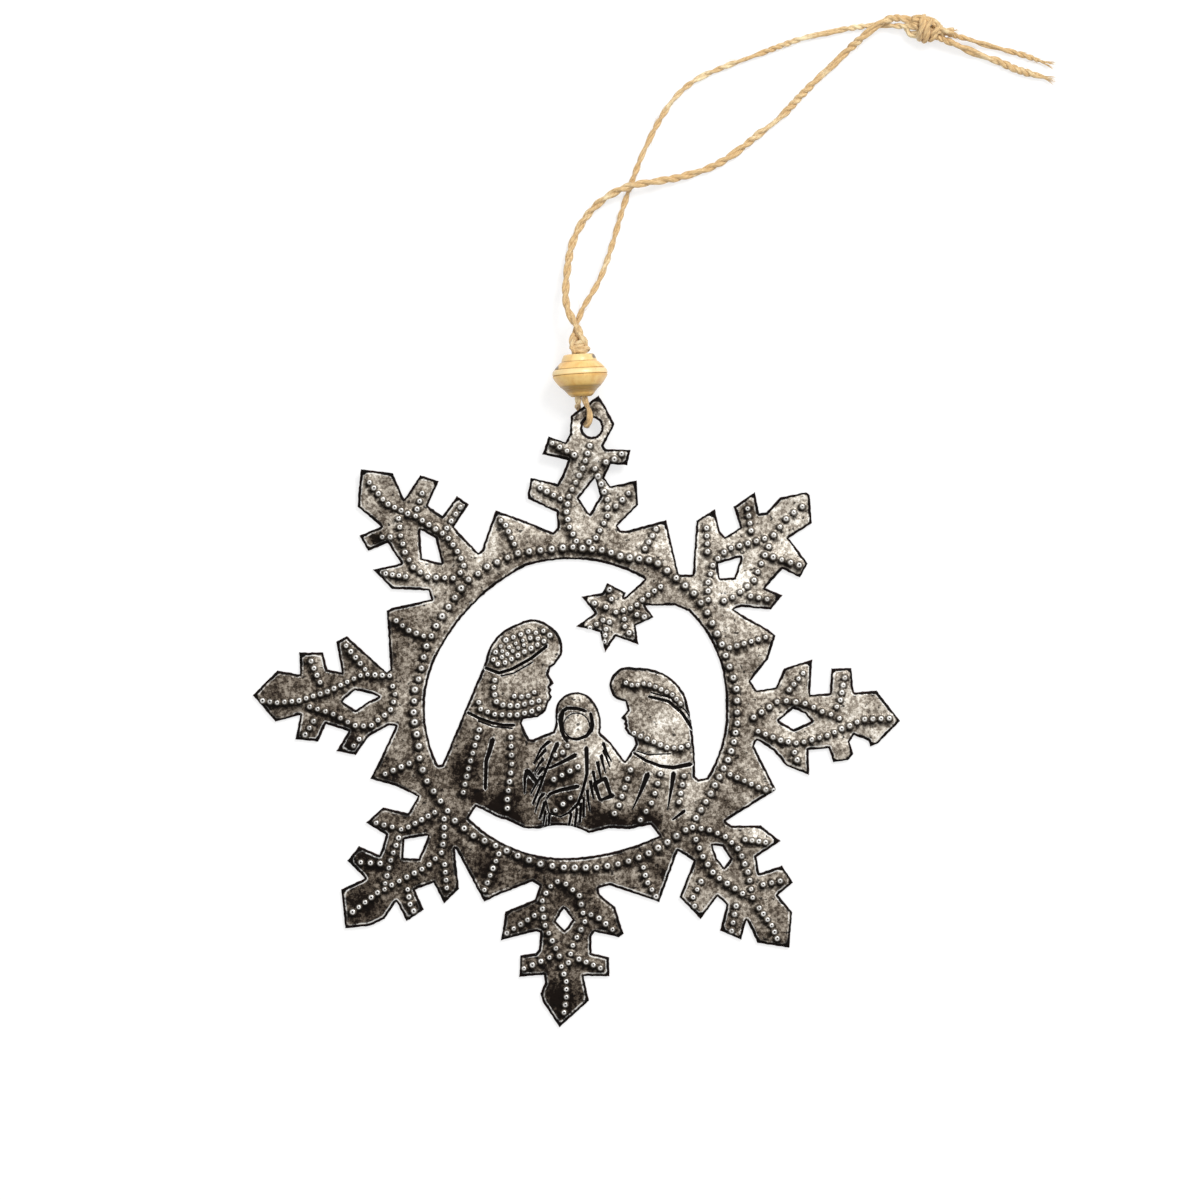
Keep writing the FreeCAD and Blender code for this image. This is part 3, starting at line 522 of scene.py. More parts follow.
def grooveLines():
    middle = Vector(childFace["middle"])
    sides = childFace["sides"]
    turns = [childFace["start"] + 2 * pi * step / sides for step in range(sides + 1)]
    ways = [Vector((cos(turn), sin(turn))) for turn in turns]
    circle = [middle + way * childFace["reach"] for way in ways]
    rows = []
    for first, last, *spots in strokes + [(childFace["line"], childFace["line"], *circle)]:
        spots = [np.array(place(*spot).xy) / mm for spot in spots]
        steps = len(spots) - 1
        for number, (start, end) in enumerate(zip(spots, spots[1:])):
            widths = [first + (last - first) * step / steps for step in (number, number + 1)]
            rows.append((start, end, *[width * pixel / mm for width in widths]))
    return rows


def grooveReach(points, lines):
    best = np.full(len(points), float(plateLook["farAway"]))
    deep = np.zeros(len(points))
    widest = max(line[2] for line in lines)
    shallow, deepest = plateLook["stroke"]
    for start, end, first, last in lines:
        along = end - start
        share = np.clip((points - start) @ along / (along @ along), 0, 1)
        width = first + (last - first) * share
        off = np.linalg.norm(points - start - share[:, None] * along, axis=1) / width
        depth = shallow + (deepest - shallow) * width / widest
        deep = np.maximum(deep, depth * np.clip(plateLook["strokeReach"] - off, 0, 1))
        best = np.minimum(best, off)
    return best, deep


# Painted light: brighter towards the window, lighter on the rubbed places with their painted
# reflections, and darker at the darkest places
def lightAt(points):
    look = steelLook
    level = look["middle"] + (points / look["spread"]) @ np.array(look["bright"])
    for spots, amount in ((rubbedAndReflecting, look["rubAndReflection"]), (stained, -look["darkSpot"])):
        for x, y, reach in spots:
            middle = np.array(place(x, y).xy) / mm
            off = np.linalg.norm(points - middle, axis=1) / (reach * pixel / mm)
            level = level + amount * np.exp(-off ** 2 * look["spotFall"])
    return level


def thinned(points, gap, taken):
    kept = []
    cells = {(int(x // gap), int(y // gap)) for x, y in taken}
    for x, y in points:
        column, row = int(x // gap), int(y // gap)
        if not any((column + i, row + j) in cells for i in (-1, 0, 1) for j in (-1, 0, 1)):
            cells.add((column, row))
            kept.append((x, y))
    return kept


def chordMiddles(verts, faces, where):
    onEdge = set(where.tolist())
    uses = {}
    for face in faces.tolist():
        for pair in zip(face, face[1:] + face[:1]):
            pair = (min(pair), max(pair))
            uses[pair] = uses.get(pair, 0) + 1
    chords = [list(pair) for pair, count in uses.items() if count == 2 and onEdge.issuperset(pair)]
    long = [pair for pair in chords if dist(*verts[pair]) > plateLook["chord"]]
    return [tuple(verts[pair].mean(axis=0)) for pair in long]


class Sheet:  # the plate's cut edge, beads and grooves in mm
    def __init__(self, node):
        look = plateLook
        outlines, self.bend, self.beads = cadPlate(node)
        rims = [raggedOutline(outline, number * 7.3) for number, outline in enumerate(outlines)]
        self.outlines = [points for points, _ in rims]
        self.boundary = np.concatenate(self.outlines)
        self.inward = np.concatenate([inward for _, inward in rims])
        self.sides = []
        for points in self.outlines:
            first, count = len(self.sides), len(points)
            self.sides += [(first + i, first + (i + 1) % count) for i in range(count)]
        self.edgeTree = treeOf(self.boundary)
        self.beadTree = treeOf(self.beads)
        big = self.beads[:, 2] - look["thickness"] - self.bent(self.beads) > look["bigFrom"]
        vary = 1 + look["beadVary"] * np.array([random.uniform(-1, 1) for _ in self.beads])
        radii = np.where(big, look["bigBead"][0], look["smallBead"][0]) * vary
        self.tops = np.where(big, look["bigBead"][1], look["smallBead"][1]) * (2 * vary - 1)
        apart = np.array([self.beadTree.find_n((x, y, 0), 2)[1][2] for x, y, _ in self.beads])
        self.radii = np.minimum(radii, apart * look["nearShare"])
        self.lines = grooveLines()

    def bent(self, points):  # the height of the sheet's back
        return np.interp(points[:, 1], *self.bend)

    def aroundBeads(self, rings):
        made = []
        for (x, y, _), radius in zip(self.beads, self.radii):
            made.append((x, y))
            for share, count in rings:
                turn = random.random()
                reach = radius * share
                for step in range(count):
                    angle = 2 * pi * (step + turn) / count
                    made.append((x + reach * cos(angle), y + reach * sin(angle)))
        return made

    def besideGrooves(self):
        made = []
        for start, end, width, _ in self.lines:
            length = np.linalg.norm(end - start)
            side = np.array([start[1] - end[1], end[0] - start[0]]) / length
            for along in np.arange(0, length, plateLook["grooveStep"]):
                spot = start + (end - start) * along / length
                made += [spot + side * (share * width) for share in plateLook["grooveShifts"]]
        return made

    def grid(self, step):
        wander = plateLook["gridWander"]
        low = self.boundary.min(axis=0)
        high = self.boundary.max(axis=0)
        made = []
        for row, y in enumerate(np.arange(low[1], high[1], step * 0.87)):
            for x in np.arange(low[0] + (row % 2) * step / 2, high[0], step):
                made.append([at + random.uniform(-wander, wander) * step for at in (x, y)])
        return made

    def inside(self, points, fromEdge):
        points = np.array(points)
        distance, _ = nearest(points, self.edgeTree)
        points = points[distance > fromEdge]
        return points[isInside(points, self.outlines)]

    def topPoints(self):
        look = plateLook
        rows = [self.aroundBeads(look["beadRings"]), self.besideGrooves(),
                self.boundary + self.inward * look["edgeRow"]]
        fine = np.concatenate([self.inside(*row) for row in zip(rows, look["margins"])])
        fine = thinned(fine, look["gap"], self.boundary)
        step, margin, gap, free = look["grid"]
        spread = self.inside(self.grid(step), margin)
        reach, which = nearest(spread, self.beadTree)
        return fine + thinned(spread[reach > self.radii[which] * free], gap, fine)

    def backPoints(self):
        look = plateLook
        rows = [self.aroundBeads(look["backRings"]), self.grid(look["backStep"])]
        coarse = np.concatenate([self.inside(*row) for row in zip(rows, look["backMargins"])])
        return thinned(coarse, look["backGap"], self.boundary)

    def triangulated(self, inner):
        count = len(self.boundary)
        points = [Vector(point) for point in (*self.boundary, *inner)]
        verts, _, faces, origins, *_ = geometry.delaunay_2d_cdt(
            points, self.sides, [], 0, 1e-6, True)
        verts = np.array([tuple(vert) for vert in verts])
        faces = np.array([tuple(face) for face in faces])
        faces = faces[isInside(verts[faces].mean(axis=1), self.outlines)]
        where = np.full(count, -1)
        for number, sources in enumerate(origins):
            where[[source for source in sources if source < count]] = number
        return verts, faces, where

    def measured(self, points):  # how far the edge and a bead are, and which bead
        edge, _ = nearest(points, self.edgeTree)
        away, which = nearest(points, self.beadTree)
        return edge, away / self.radii[which], which

    def topHeights(self, points, edge, reach, which, deep):
        look = plateLook
        tops = self.tops[which]
        dome = tops * np.clip(1 - np.clip(reach, 0, 1) ** look["domePower"], 0, 1)
        dome -= tops * look["eyeDepth"] * smooth(*look["eye"], reach)
        moat, width = look["moat"]
        dome -= moat * np.sin(np.clip((reach - 1) / width, 0, 1) * pi)
        swell, within = look["pillow"]
        wave = swell * (smooth(0, within, edge) - 0.5)
        for number, (scale, rise) in enumerate(look["waves"]):
            seed = number * look["waveSeed"]
            wave += rise * np.array([noise.noise((x, y, seed)) for x, y in points * scale])
        drop, start = look["edgeDrop"]
        level = self.bent(points) + look["thickness"]
        return level + dome + wave - deep - drop * smooth(start, 0.0, edge)

    # Painted shade round each bead, wider and darker on the side away from the window
    def shadeRings(self, points, reach, which):
        look = plateLook
        off = np.maximum(reach * self.radii[which], 0.05)
        lit = (points - self.beads[which][:, :2]) / off[:, None] @ np.array(look["window"])
        start, end, (before, after, full), share = look["halo"]
        start, end, share = [level + more * lit for level, more in (start, end, share)]
        halo = smooth(start - before, start + after, reach) * smooth(end, end * full, reach)
        return halo * np.clip(share, 0, 1)


def platePiece(material):
    look = plateLook
    sheet = Sheet(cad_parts["snowflake_plate"])
    fine = sheet.topPoints()
    coarse = sheet.backPoints()
    fine += chordMiddles(*sheet.triangulated(fine))
    topVerts, topFaces, topWhere = sheet.triangulated(fine)
    backVerts, backFaces, backWhere = sheet.triangulated(coarse)
    print("plate points", len(topVerts), len(backVerts))

    edge, reach, which = sheet.measured(topVerts)
    grooves, deep = grooveReach(topVerts, sheet.lines)
    topHeight = sheet.topHeights(topVerts, edge, reach, which, deep)
    backEdge, backReach, _ = sheet.measured(backVerts)
    share, depth = look["dimple"]
    backHeight = sheet.bent(backVerts) + depth * (1 - np.clip(backReach / share, 0, 1) ** 2)

    points = [(*spot, height) for spot, height in
              zip((*topVerts, *backVerts), (*topHeight, *backHeight))]
    middles = len(points) + np.arange(len(topWhere))
    rows = np.column_stack([topWhere, middles, len(topVerts) + backWhere]).tolist()
    for (x, y), (inX, inY), number in zip(sheet.boundary, sheet.inward, backWhere):
        out = random.uniform(*look["sideOut"])
        height = backHeight[number] + random.uniform(*look["sideHeight"])
        points.append((x - inX * out, y - inY * out, height))
    turn = -1 if geometry.normal([(*topVerts[i], 0) for i in topFaces[0]]).z < 0 else 1
    faces = [face[::turn] for face in topFaces.tolist()]
    faces += [face[::-turn] for face in (backFaces + len(topVerts)).tolist()]
    for here, ahead in sheet.sides:
        (top, middle, low), (nextTop, nextMiddle, nextLow) = rows[here], rows[ahead]
        faces += [(top, nextTop, nextMiddle, middle), (middle, nextMiddle, nextLow, low)]

    def whole(known, value):  # one value for the rest of the points
        return np.concatenate([known, np.full(len(points) - len(known), float(value))])

    piece = meshPiece(
        "snowflakePlate", np.array(points) * mm, faces, material,
        beadReach=whole(reach.clip(0, 3), 3),
        edgeReach=whole(np.concatenate([edge, backEdge]).clip(0, 5), 0),
        grooveReach=whole(grooves, look["farAway"]),
        halo=whole(sheet.shadeRings(topVerts, reach, which), 0),
        light=whole(lightAt(topVerts), look["backLight"]))
    check = bmesh.new()
    check.from_mesh(piece.data)
    bmesh.ops.recalc_face_normals(check, faces=check.faces)
    check.to_mesh(piece.data)
    check.free()
    piece.data.set_sharp_from_angle(angle=look["sharp"])
    return piece


random.seed(4)
plate = platePiece(steelMaterial())
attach(plate, "plate")
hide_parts("snowflake_plate")
print("plate made", len(plate.data.polygons))


# Turned wooden bead. A row of the profile is a radius and a height above the foot, in mm.
beadLook = {
    "foot": (581.4, 397.6),
    "top": (578.8, 355.5),
    "rings": 160,
    "profile": [
        (1.5, 0.8), (1.86, 0.0), (1.98, 0.0), (2.05, 0.05), (2.42, 0.34), (2.50, 0.43),
        (2.62, 0.60), (2.72, 0.72), (2.78, 0.80), (3.02, 1.06), (3.10, 1.12), (3.10, 1.20),
        (3.40, 1.46), (3.50, 1.52), (3.52, 1.60), (3.86, 1.88), (3.96, 1.93), (4.04, 2.06),
        (4.44, 2.52), (4.76, 2.95), (5.06, 3.38), (5.29, 3.77), (5.375, 4.06), (5.30, 4.15),
        (5.21, 4.20), (5.30, 4.26), (5.40, 4.33), (5.385, 4.60), (5.32, 4.92), (5.16, 5.18),
        (5.06, 5.29), (4.93, 5.34), (4.86, 5.40), (4.90, 5.46), (4.86, 5.56), (4.60, 5.84),
        (4.30, 6.15), (3.98, 6.45), (3.70, 6.71), (3.55, 6.76), (3.455, 6.82), (3.46, 6.90),
        (3.42, 7.08), (3.34, 7.34), (3.25, 7.60), (3.12, 7.86), (2.98, 8.08), (2.84, 8.19),
        (1.5, 8.19),
    ],
    # The wood's pale bands; the palest is partly a painted highlight
    "pale": colour(0.93, 0.76, 0.42),
    "light": colour(0.90, 0.59, 0.19),
    "deep": colour(0.78, 0.40, 0.085),
    "olive": colour(0.36, 0.22, 0.055),
    "line": colour(0.30, 0.13, 0.035),
    # Colour of the dark spots at the places below
    "darkSpot": colour(0.06, 0.05, 0.045),
    "darkSpots": [(594.5, 357.5, 3.4), (590, 354.5, 2.2), (557, 369.5, 2.8)],  # places and reach
    # Along the bead, as shares of its length: how olive and how pale the wood is, the palest band
    # at about
    # 0.56 being partly a painted highlight, and where its turned lines start, are deepest and end,
    # with their depth
    "olives": [
        (0.0, 0.55), (0.06, 0.35), (0.09, 0.1), (0.12, 0.9), (0.24, 0.85), (0.285, 0.22),
        (0.38, 0.0), (0.50, 0.0),
    ],
    "pales": [
        (0.28, 0.0), (0.40, 0.25), (0.49, 0.15), (0.525, 0.5), (0.56, 0.95), (0.63, 0.75),
        (0.67, 0.25), (0.80, 0.15), (0.86, 0.55), (1.0, 0.6),
    ],
    "lines": [
        (0.075, 0.095, 0.110, 0.75), (0.132, 0.145, 0.160, 0.85), (0.183, 0.194, 0.207, 0.85),
        (0.232, 0.240, 0.252, 0.7), (0.500, 0.512, 0.526, 1.0), (0.643, 0.658, 0.672, 1.0),
        (0.820, 0.833, 0.848, 1.0),
    ],
    "bump": (0.25, 0.0001),
    "coat": (0.25, 0.16),  # weight and roughness
    "step": 0.25,  # mm between rows of points
    "sharp": radians(40),
}
beadAxis = (place(*beadLook["top"]) - place(*beadLook["foot"])).normalized()
beadSide = sideOf(beadAxis)
beadFoot = place(*beadLook["foot"], max(radius for radius, _ in beadLook["profile"]))


def woodMaterial():
    look = beadLook
    wood = Finish(bpy.data.materials.new("turnedWood"))
    where = wood.node("TexCoord", output=3)
    along = wood.attribute("along")
    stretched = wood.node("Mapping", None, {"Vector": where, "Scale": (1.0, 0.35, 1.0)})
    grain = wood.noise(stretched, 900, 5, 0.6)
    cloud = wood.noise(where, 260, 3)
    tone = wood.mix(wood.level(grain * 0.6 + cloud * 0.5, 0.40, 0.70), look["light"], look["deep"])
    stops = []
    for start, middle, end, depth in look["lines"]:
        stops += [(start, 0.0), (middle, depth), (end, 0.0)]
    flecks = wood.level(wood.noise(stretched, 2400, 2), 0.62, 0.74)
    darkMask = wood.attribute("stained") + cloud * 0.5 + grain * 0.7
    layers = [
        (wood.ramp(along, look["olives"]), "olive"),
        (wood.ramp(along, look["pales"]) * 0.8, "pale"),
        (wood.ramp(along, stops) * wood.level(grain, 0.25, 0.6, 0.55, 0.9), "line"),
        (flecks * 0.25, "line"),
        (wood.level(darkMask, 0.85, 1.5) * 0.9, "darkSpot"),
    ]
    for amount, over in layers:
        tone = wood.mix(amount, tone, look[over])
    weight, roughness = look["coat"]
    wood.shade({"Base Color": tone, "Roughness": 0.30 + grain * 0.18, "Coat Weight": weight,
                "Coat Roughness": roughness, "Normal": wood.bump(grain, *look["bump"])})
    return wood.owner


def beadPiece(material):
    look = beadLook
    length = look["profile"][-1][1]
    rows = []
    for (radius, height), (nextRadius, nextHeight) in zip(look["profile"], look["profile"][1:]):
        parts = max(1, round(hypot(nextRadius - radius, nextHeight - height) / look["step"]))
        for part in range(parts):
            share = part / parts
            rows.append((radius + (nextRadius - radius) * share,
                         height + (nextHeight - height) * share))
    rows.append(look["profile"][-1])
    count = look["rings"]
    points, alongs, stained, faces = [], [], [], []
    for row, (radius, height) in enumerate(rows):
        for step in range(count):
            out = wayAt(beadSide, up, 2 * pi * step / count)
            points.append(beadFoot + beadAxis * height * mm + out * (radius * mm))
            alongs.append(height / length)
            near = [((points[-1] - place(x, y)).xy.length / (reach * pixel)) ** 2
                    for x, y, reach in look["darkSpots"]]
            stained.append(exp(-min(near)))
        faces += ringFaces(row * count, (row + 1) % len(rows) * count, count)
    piece = meshPiece("woodenBead", points, faces, material, along=alongs, stained=stained)
    piece.data.set_sharp_from_angle(angle=look["sharp"])
    return piece


bead = beadPiece(woodMaterial())
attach(bead, "bead")
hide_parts("wooden_bead")
print("bead made")


# Jute twine: two plies twisted round each other, with loose hairs and frayed ends. Lengths are
# in mm, and a pair of numbers gives the least and the most of what is drawn at random.
lying = 0.66  # height of the twine's middle on the table
twineLook = {
    "diameter": 1.25,
    "strandSpacing": 1.3,
    "beadLength": 8.2,
    "stopKnotGap": 0.1,
    "stopKnotLength": 3.5,
    "crossingSpacing": 1.4,
    "crossingTurn": radians(50),
    "crossingLead": 0.9,
    "hitchLead": 0.94,
    "knotEntry": (909.5, 24.5),
    "knotExit": (936.2, 34.7),
    "knotHeight": 2.25,
    "knotLength": 5.6,
    "knotLead": 2.35,
    "plyRadius": 0.37,
    "plyOffset": 0.70,
    "lay": 6.4,  # for one turn of the plies
    "layVary": 0.12,  # share, also its waves in a mm
    "swell": (0.16, 0.35),  # share by which a ply gets thicker, and its waves in a mm
    "endShare": 0.35,  # how thick a ply is at a cut end
    "ridge": 0.07,
    "fibreTwist": 2.4,
    "step": 0.22,
    "sides": 11,
    "hairLength": (0.7, 2.2),
    "hairLift": (0.08, 0.45),
    "hairCurl": (-0.5, 0.5),
    "hairRadius": 0.032,
    "frayLength": (0.55, 1.0),
    "frayWidth": (0.2, 1.0),
    "frayRadius": (0.07, 0.13),
    "least": 0.02,  # height over the table
    "pastBox": 1.5,  # how far fray may stand out of the CAD box
    # The fibres run from deep to light; deep also paints the shade in the creases, and pale paints
    # highlights in patches
    "light": colour(0.92, 0.66, 0.33),
    "deep": colour(0.42, 0.24, 0.09),
    "pale": colour(1.0, 0.86, 0.55),
    "bump": (0.6, 0.00012),
    "sheen": (0.25, 0.5),  # weight and roughness
}

# Routes of the middle of the twine: places with their height, or lying on the table
leftRoute = [
    (572.5, 322, 6.05), (567, 309, 5.1), (565.5, 296, 4.1), (567, 272, 2.5), (571, 247, 1.2),
    (579, 227), (592, 209.5, 0.9), (606, 197.5, 1.9), (623, 189, 2.75), (643, 184.5, 2.75),
    (661, 181.5, 1.8), (680, 178, 0.9), (711, 168.5), (734, 154.5), (760, 133.5), (781, 118),
    (805, 91), (832, 66), (850, 48.5, 0.9), (866, 34.5, 1.9), (880, 24, 2.4), (893, 18.5, 2.3),
]
rightRoute = [
    (577.5, 323, 4.4), (583, 309, 4.4), (589.5, 299, 4.2), (599, 283, 3.3), (607, 262, 2.2),
    (614.5, 238, 1.2), (622.5, 209), (632, 181), (643.5, 151.5), (659, 120.5), (676, 95.5),
    (696, 79), (723, 67.5), (763, 53), (798, 39.5), (830, 32.5, 0.7), (856, 27.5, 0.9),
    (878, 25.5, 1.1), (896, 27, 1.5),
]
upperTailRoute = [
    (966, 39.5, 1.6), (985, 45.5, 0.85), (1007, 51), (1030, 57.5), (1049.5, 65),
]
lowerTailRoute = [
    (963, 49, 1.5), (981, 56.5, 0.75), (998, 61.5), (1013, 69), (1031, 74.5), (1049.5, 79),
]
hitchRoute = [
    (577.2, 404.5, 4.3), (577.7, 407, 2.7), (578.8, 409.8, 1.75), (581.5, 416, 1.6),
    (584, 421.5, 1.6), (586.3, 426.2, 2.2), (586.8, 427, 3.4), (590.2, 422.5, 4.5),
    (589.6, 412, 4.75),
]


def juteMaterial():
    look = twineLook
    jute = Finish(bpy.data.materials.new("juteTwine"))
    where = jute.node("TexCoord", output=3)
    along = jute.attribute("along")
    turned = jute.attribute("turned")
    streaks = jute.node("CombineXYZ", None, {0: along * 0.5, 1: turned * 2.2, 2: 0.0})
    fibre = jute.noise(streaks, 2.2, 4, 0.65)
    patch = jute.noise(where, 190, 3)
    tone = jute.mix(jute.level(fibre, 0.32, 0.68), look["deep"], look["light"])
    # painted highlights in pale patches
    tone = jute.mix(jute.level(patch * 0.6 + fibre * 0.4, 0.48, 0.66), tone, look["pale"])
    # painted shade in the creases between the plies
    tone = jute.mix(jute.attribute("crease") * 0.62, tone, look["deep"])
    weight, roughness = look["sheen"]
    jute.shade({"Base Color": tone, "Roughness": 0.62 + fibre * 0.2, "Sheen Weight": weight,
                "Sheen Roughness": roughness, "Normal": jute.bump(fibre, *look["bump"])})
    return jute.owner


jute = juteMaterial()


def splineLine(name, route):
    curve = bpy.data.curves.new(name, "CURVE")
    curve.dimensions = "3D"
    curve.resolution_u = 24
    spline = curve.splines.new("NURBS")
    spline.points.add(len(route) - 1)
    for point, spot in zip(spline.points, route):
        point.co = (*spot, 1)
    spline.order_u = 3
    spline.use_endpoint_u = True
    holder = newObject(name, curve)
    bpy.context.view_layer.update()
    mesh = bpy.data.meshes.new_from_object(holder)
    line = [vert.co.copy() for vert in mesh.vertices]
    bpy.data.objects.remove(holder)
    bpy.data.meshes.remove(mesh)
    return line


def evenly(line, step):
    points = [line[0]]
    left = step
    for start, end in zip(line, line[1:]):
        length = (end - start).length
        while left <= length:
            points.append(start + (end - start) * (left / length))
            left += step
        left -= length
    points.append(line[-1])
    return points


def carried(points):  # the way ahead and two across, kept from turning
    ways = []
    side = None
    for number, point in enumerate(points):
        ahead = (points[min(number + 1, len(points) - 1)] - points[max(number - 1, 0)]).normalized()
        if side is None:
            side = ahead.orthogonal().normalized()
        side = (side - ahead * side.dot(ahead)).normalized()
        ways.append((ahead, side, ahead.cross(side)))
    return ways


def above(spot, least):
    return Vector((spot.x, spot.y, max(spot.z, least * mm)))


class Yarn:  # gathers the tubes of one piece of twine
    def __init__(self):
        self.rows = []  # point, along, turned, painted shade in creases
        self.faces = []

    def tube(self, centres, radii, sides, alongs, twist=0.0, ridge=0.0, creases=None):
        first = len(self.rows)
        rings = [first + row * sides for row in range(len(centres))]
        for row, (_, side, other) in enumerate(carried(centres)):
            for step in range(sides):
                angle = 2 * pi * step / sides
                strand = cos(5 * angle - twist * alongs[row])
                out = wayAt(side, other, angle)
                # Painted shade where a ply faces the other ply and in the valleys of its ridges
                shade = max(0.0, out.dot(creases[row])) ** 2 if creases else 0.0
                crease = min(1.0, shade + 0.5 * max(0.0, -strand) * (ridge > 0))
                self.rows.append((centres[row] + out * (radii[row] * (1 + ridge * strand)),
                                  alongs[row], angle + twist * 0.2 * alongs[row], crease))
        for lower, upper in zip(rings, rings[1:]):
            self.faces += ringFaces(lower, upper, sides)
        self.faces.append(tuple(first + step for step in reversed(range(sides))))
        self.faces.append(tuple(rings[-1] + step for step in range(sides)))

    def twine(self, line, hairs, start=0.0, closeEnd=0.0, thick=1.0):
        look = twineLook
        points = evenly(line, look["step"] * mm)
        ways = carried(points)
        length = look["step"] * (len(points) - 1)
        vary, (swell, waves) = look["layVary"], look["swell"]
        for ply in range(2):
            centres, radii, alongs, creases = [], [], [], []
            for number, (point, (_, side, other)) in enumerate(zip(points, ways)):
                along = number * look["step"]
                distance = start + along
                lay = look["lay"] * (1 + vary * noise.noise((distance * vary, 4, 4)))
                radius = look["plyRadius"] * thick * (
                    1 + swell * noise.noise((distance * waves, ply * 9, 1)))
                if closeEnd:
                    rest = min(1.0, (length - along) / closeEnd)
                    radius *= look["endShare"] + (1 - look["endShare"]) * rest
                out = wayAt(side, other, 2 * pi * (distance / lay + ply / 2))
                centres.append(point + out * (look["plyOffset"] * radius * mm))
                radii.append(radius * mm)
                alongs.append(distance)
                creases.append(-out)
            self.tube(centres, radii, look["sides"], alongs, look["fibreTwist"], look["ridge"],
                      creases)
        for _ in range(int(hairs * length)):
            self.hair(points, ways)

    def hair(self, points, ways):
        look = twineLook
        number = random.randrange(3, len(points) - 3)
        ahead, side, other = ways[number]
        out = wayAt(side, other, random.uniform(0, 2 * pi))
        length = random.uniform(*look["hairLength"]) * mm
        lift = random.uniform(*look["hairLift"])
        turn = random.choice((-1, 1))
        curl = random.uniform(*look["hairCurl"])
        root = points[number] + out * (look["plyRadius"] * 1.5 * mm)
        shares = [step / 4 for step in range(5)]
        centres = []
        for share in shares:
            spot = root + ahead * (turn * length * share) + out * (length * lift * share ** 1.5)
            spot += ahead.cross(out) * (length * curl * share ** 2)
            centres.append(above(spot, 0.04))
        radii = [look["hairRadius"] * mm * (1 - 0.7 * share) for share in shares]
        self.tube(centres, radii, 3, [number * 0.2 + step for step in range(5)])

    def fray(self, line, count, length, spread):
        look = twineLook
        ahead = (line[-1] - line[-8]).normalized()
        shares = [step / 6 for step in range(7)]
        for number in range(count):
            side = wayAt(-sideOf(ahead), up, random.uniform(0, 2 * pi))
            lead = random.uniform(*look["frayLength"]) * length
            wide = random.uniform(*look["frayWidth"]) * spread
            centres = []
            for share in shares:
                spot = line[-1] + ahead * ((share - 0.25) * lead * mm)
                spot += side * ((0.22 + wide * share ** 1.6) * mm)
                centres.append(above(spot, 0.07))
            radii = [random.uniform(*look["frayRadius"]) * mm * (1 - 0.75 * share)
                     for share in shares]
            self.tube(centres, radii, 5, [number * 3 + step for step in range(7)])

    def piece(self, name):
        margin = Vector((1, 1, 0)) * (twineLook["pastBox"] * mm)
        low, high = cadBox[0] - margin, cadBox[1] + margin
        points, alongs, turned, creases = zip(*self.rows)
        points = np.clip(points, (low.x, low.y, twineLook["least"] * mm), (high.x, high.y, 1))
        return meshPiece(name, points, self.faces, jute, along=alongs, turned=turned,
                         crease=creases)


def places(route):
    return [place(*row) if len(row) > 2 else place(*row, lying) for row in route]


look = twineLook
knotEntry = place(*look["knotEntry"], look["knotHeight"])
knotAxis = (place(*look["knotExit"]) - place(*look["knotEntry"])).normalized()
knotExit = knotEntry + knotAxis * (look["knotLength"] * mm)
stopFoot = beadFoot + beadAxis * ((look["beadLength"] + look["stopKnotGap"]) * mm)
stopTop = stopFoot + beadAxis * (look["stopKnotLength"] * mm)
crossing = wayAt(beadSide, up, look["crossingTurn"]) * (look["crossingSpacing"] / 2 * mm)
crossingLead = beadAxis * (look["crossingLead"] * mm)
halfSpacing = look["strandSpacing"] / 2 * mm
lowerSide = sideOf(knotAxis) * halfSpacing


def strandRoute(aside, route, knotSide, tail):
    lead = knotExit + knotSide + knotAxis * (look["knotLead"] * mm)
    return [stopTop + aside, stopTop + aside + crossingLead, *places(route), knotEntry - knotSide,
            knotExit + knotSide, lead, *places(tail)]


strands = [
    ("twineLeftStrand", ("twine_left_strand", "twine_lower_tail"), 1.25,
     strandRoute(crossing, leftRoute, lowerSide, lowerTailRoute)),
    ("twineRightStrand", ("twine_right_strand", "twine_upper_tail"), 0.95,
     strandRoute(-crossing, rightRoute, -lowerSide, upperTailRoute)),
]

# A turn of a knot goes round the core: its middle along the knot, lean, reach, angles from and
# to in turns, its shift to the side, and where its strands lie, all lengths in mm. A loop is a
# free strand over the knot, by places along, across and above the core.
knotLook = {
    "dive": 0.55,  # how far the ends of a turn dive into the core
    "flat": 0.85,  # height of a turn against its width
    "thick": 1.2,
    "hairs": (0.6, 0.5, 0.3),  # to a mm of turn, loop and core
    "endTurns": [(2.95, 0.30, 2.00, -0.42, 0.52, 0.1, (-0.58, 0.58)),
                 (5.2, -0.30, 1.50, -0.48, 0.50, 0.0, (0.0,))],
    "endLoops": [
        [(-0.35, 1.0, -0.5), (0.2, 1.85, -0.85), (1.4, 2.0, -0.6), (2.6, 1.2, -0.2)],
        [(0.1, -0.9, 0.5), (1.5, -1.6, 0.9), (3.3, -1.85, 1.1), (4.9, -1.55, 1.0), (6.0, -0.8, 0.8),
         (6.9, -0.2, 0.2)],
        [(5.3, -0.4, 1.1), (6.9, -0.85, 1.3), (8.4, -1.3, 1.2)],
    ],
    "stopTurns": [(0.62, 0.12, 1.30, -0.48, 0.50, 0.35, (0.0,)),
                  (1.75, 0.45, 1.15, -0.42, 0.40, 0.1, (0.0,))],
    "stopLoops": [
        [(3.8, 0.2, 0.6), (3.1, 0.95, 1.1), (2.2, 1.35, 0.7), (1.3, 1.1, -0.3)],
        [(3.8, -0.5, -0.3), (3.0, -1.05, 0.5), (2.0, -1.25, 0.85), (1.0, -1.0, 0.95),
         (0.5, -0.3, 1.1)],
    ],
}


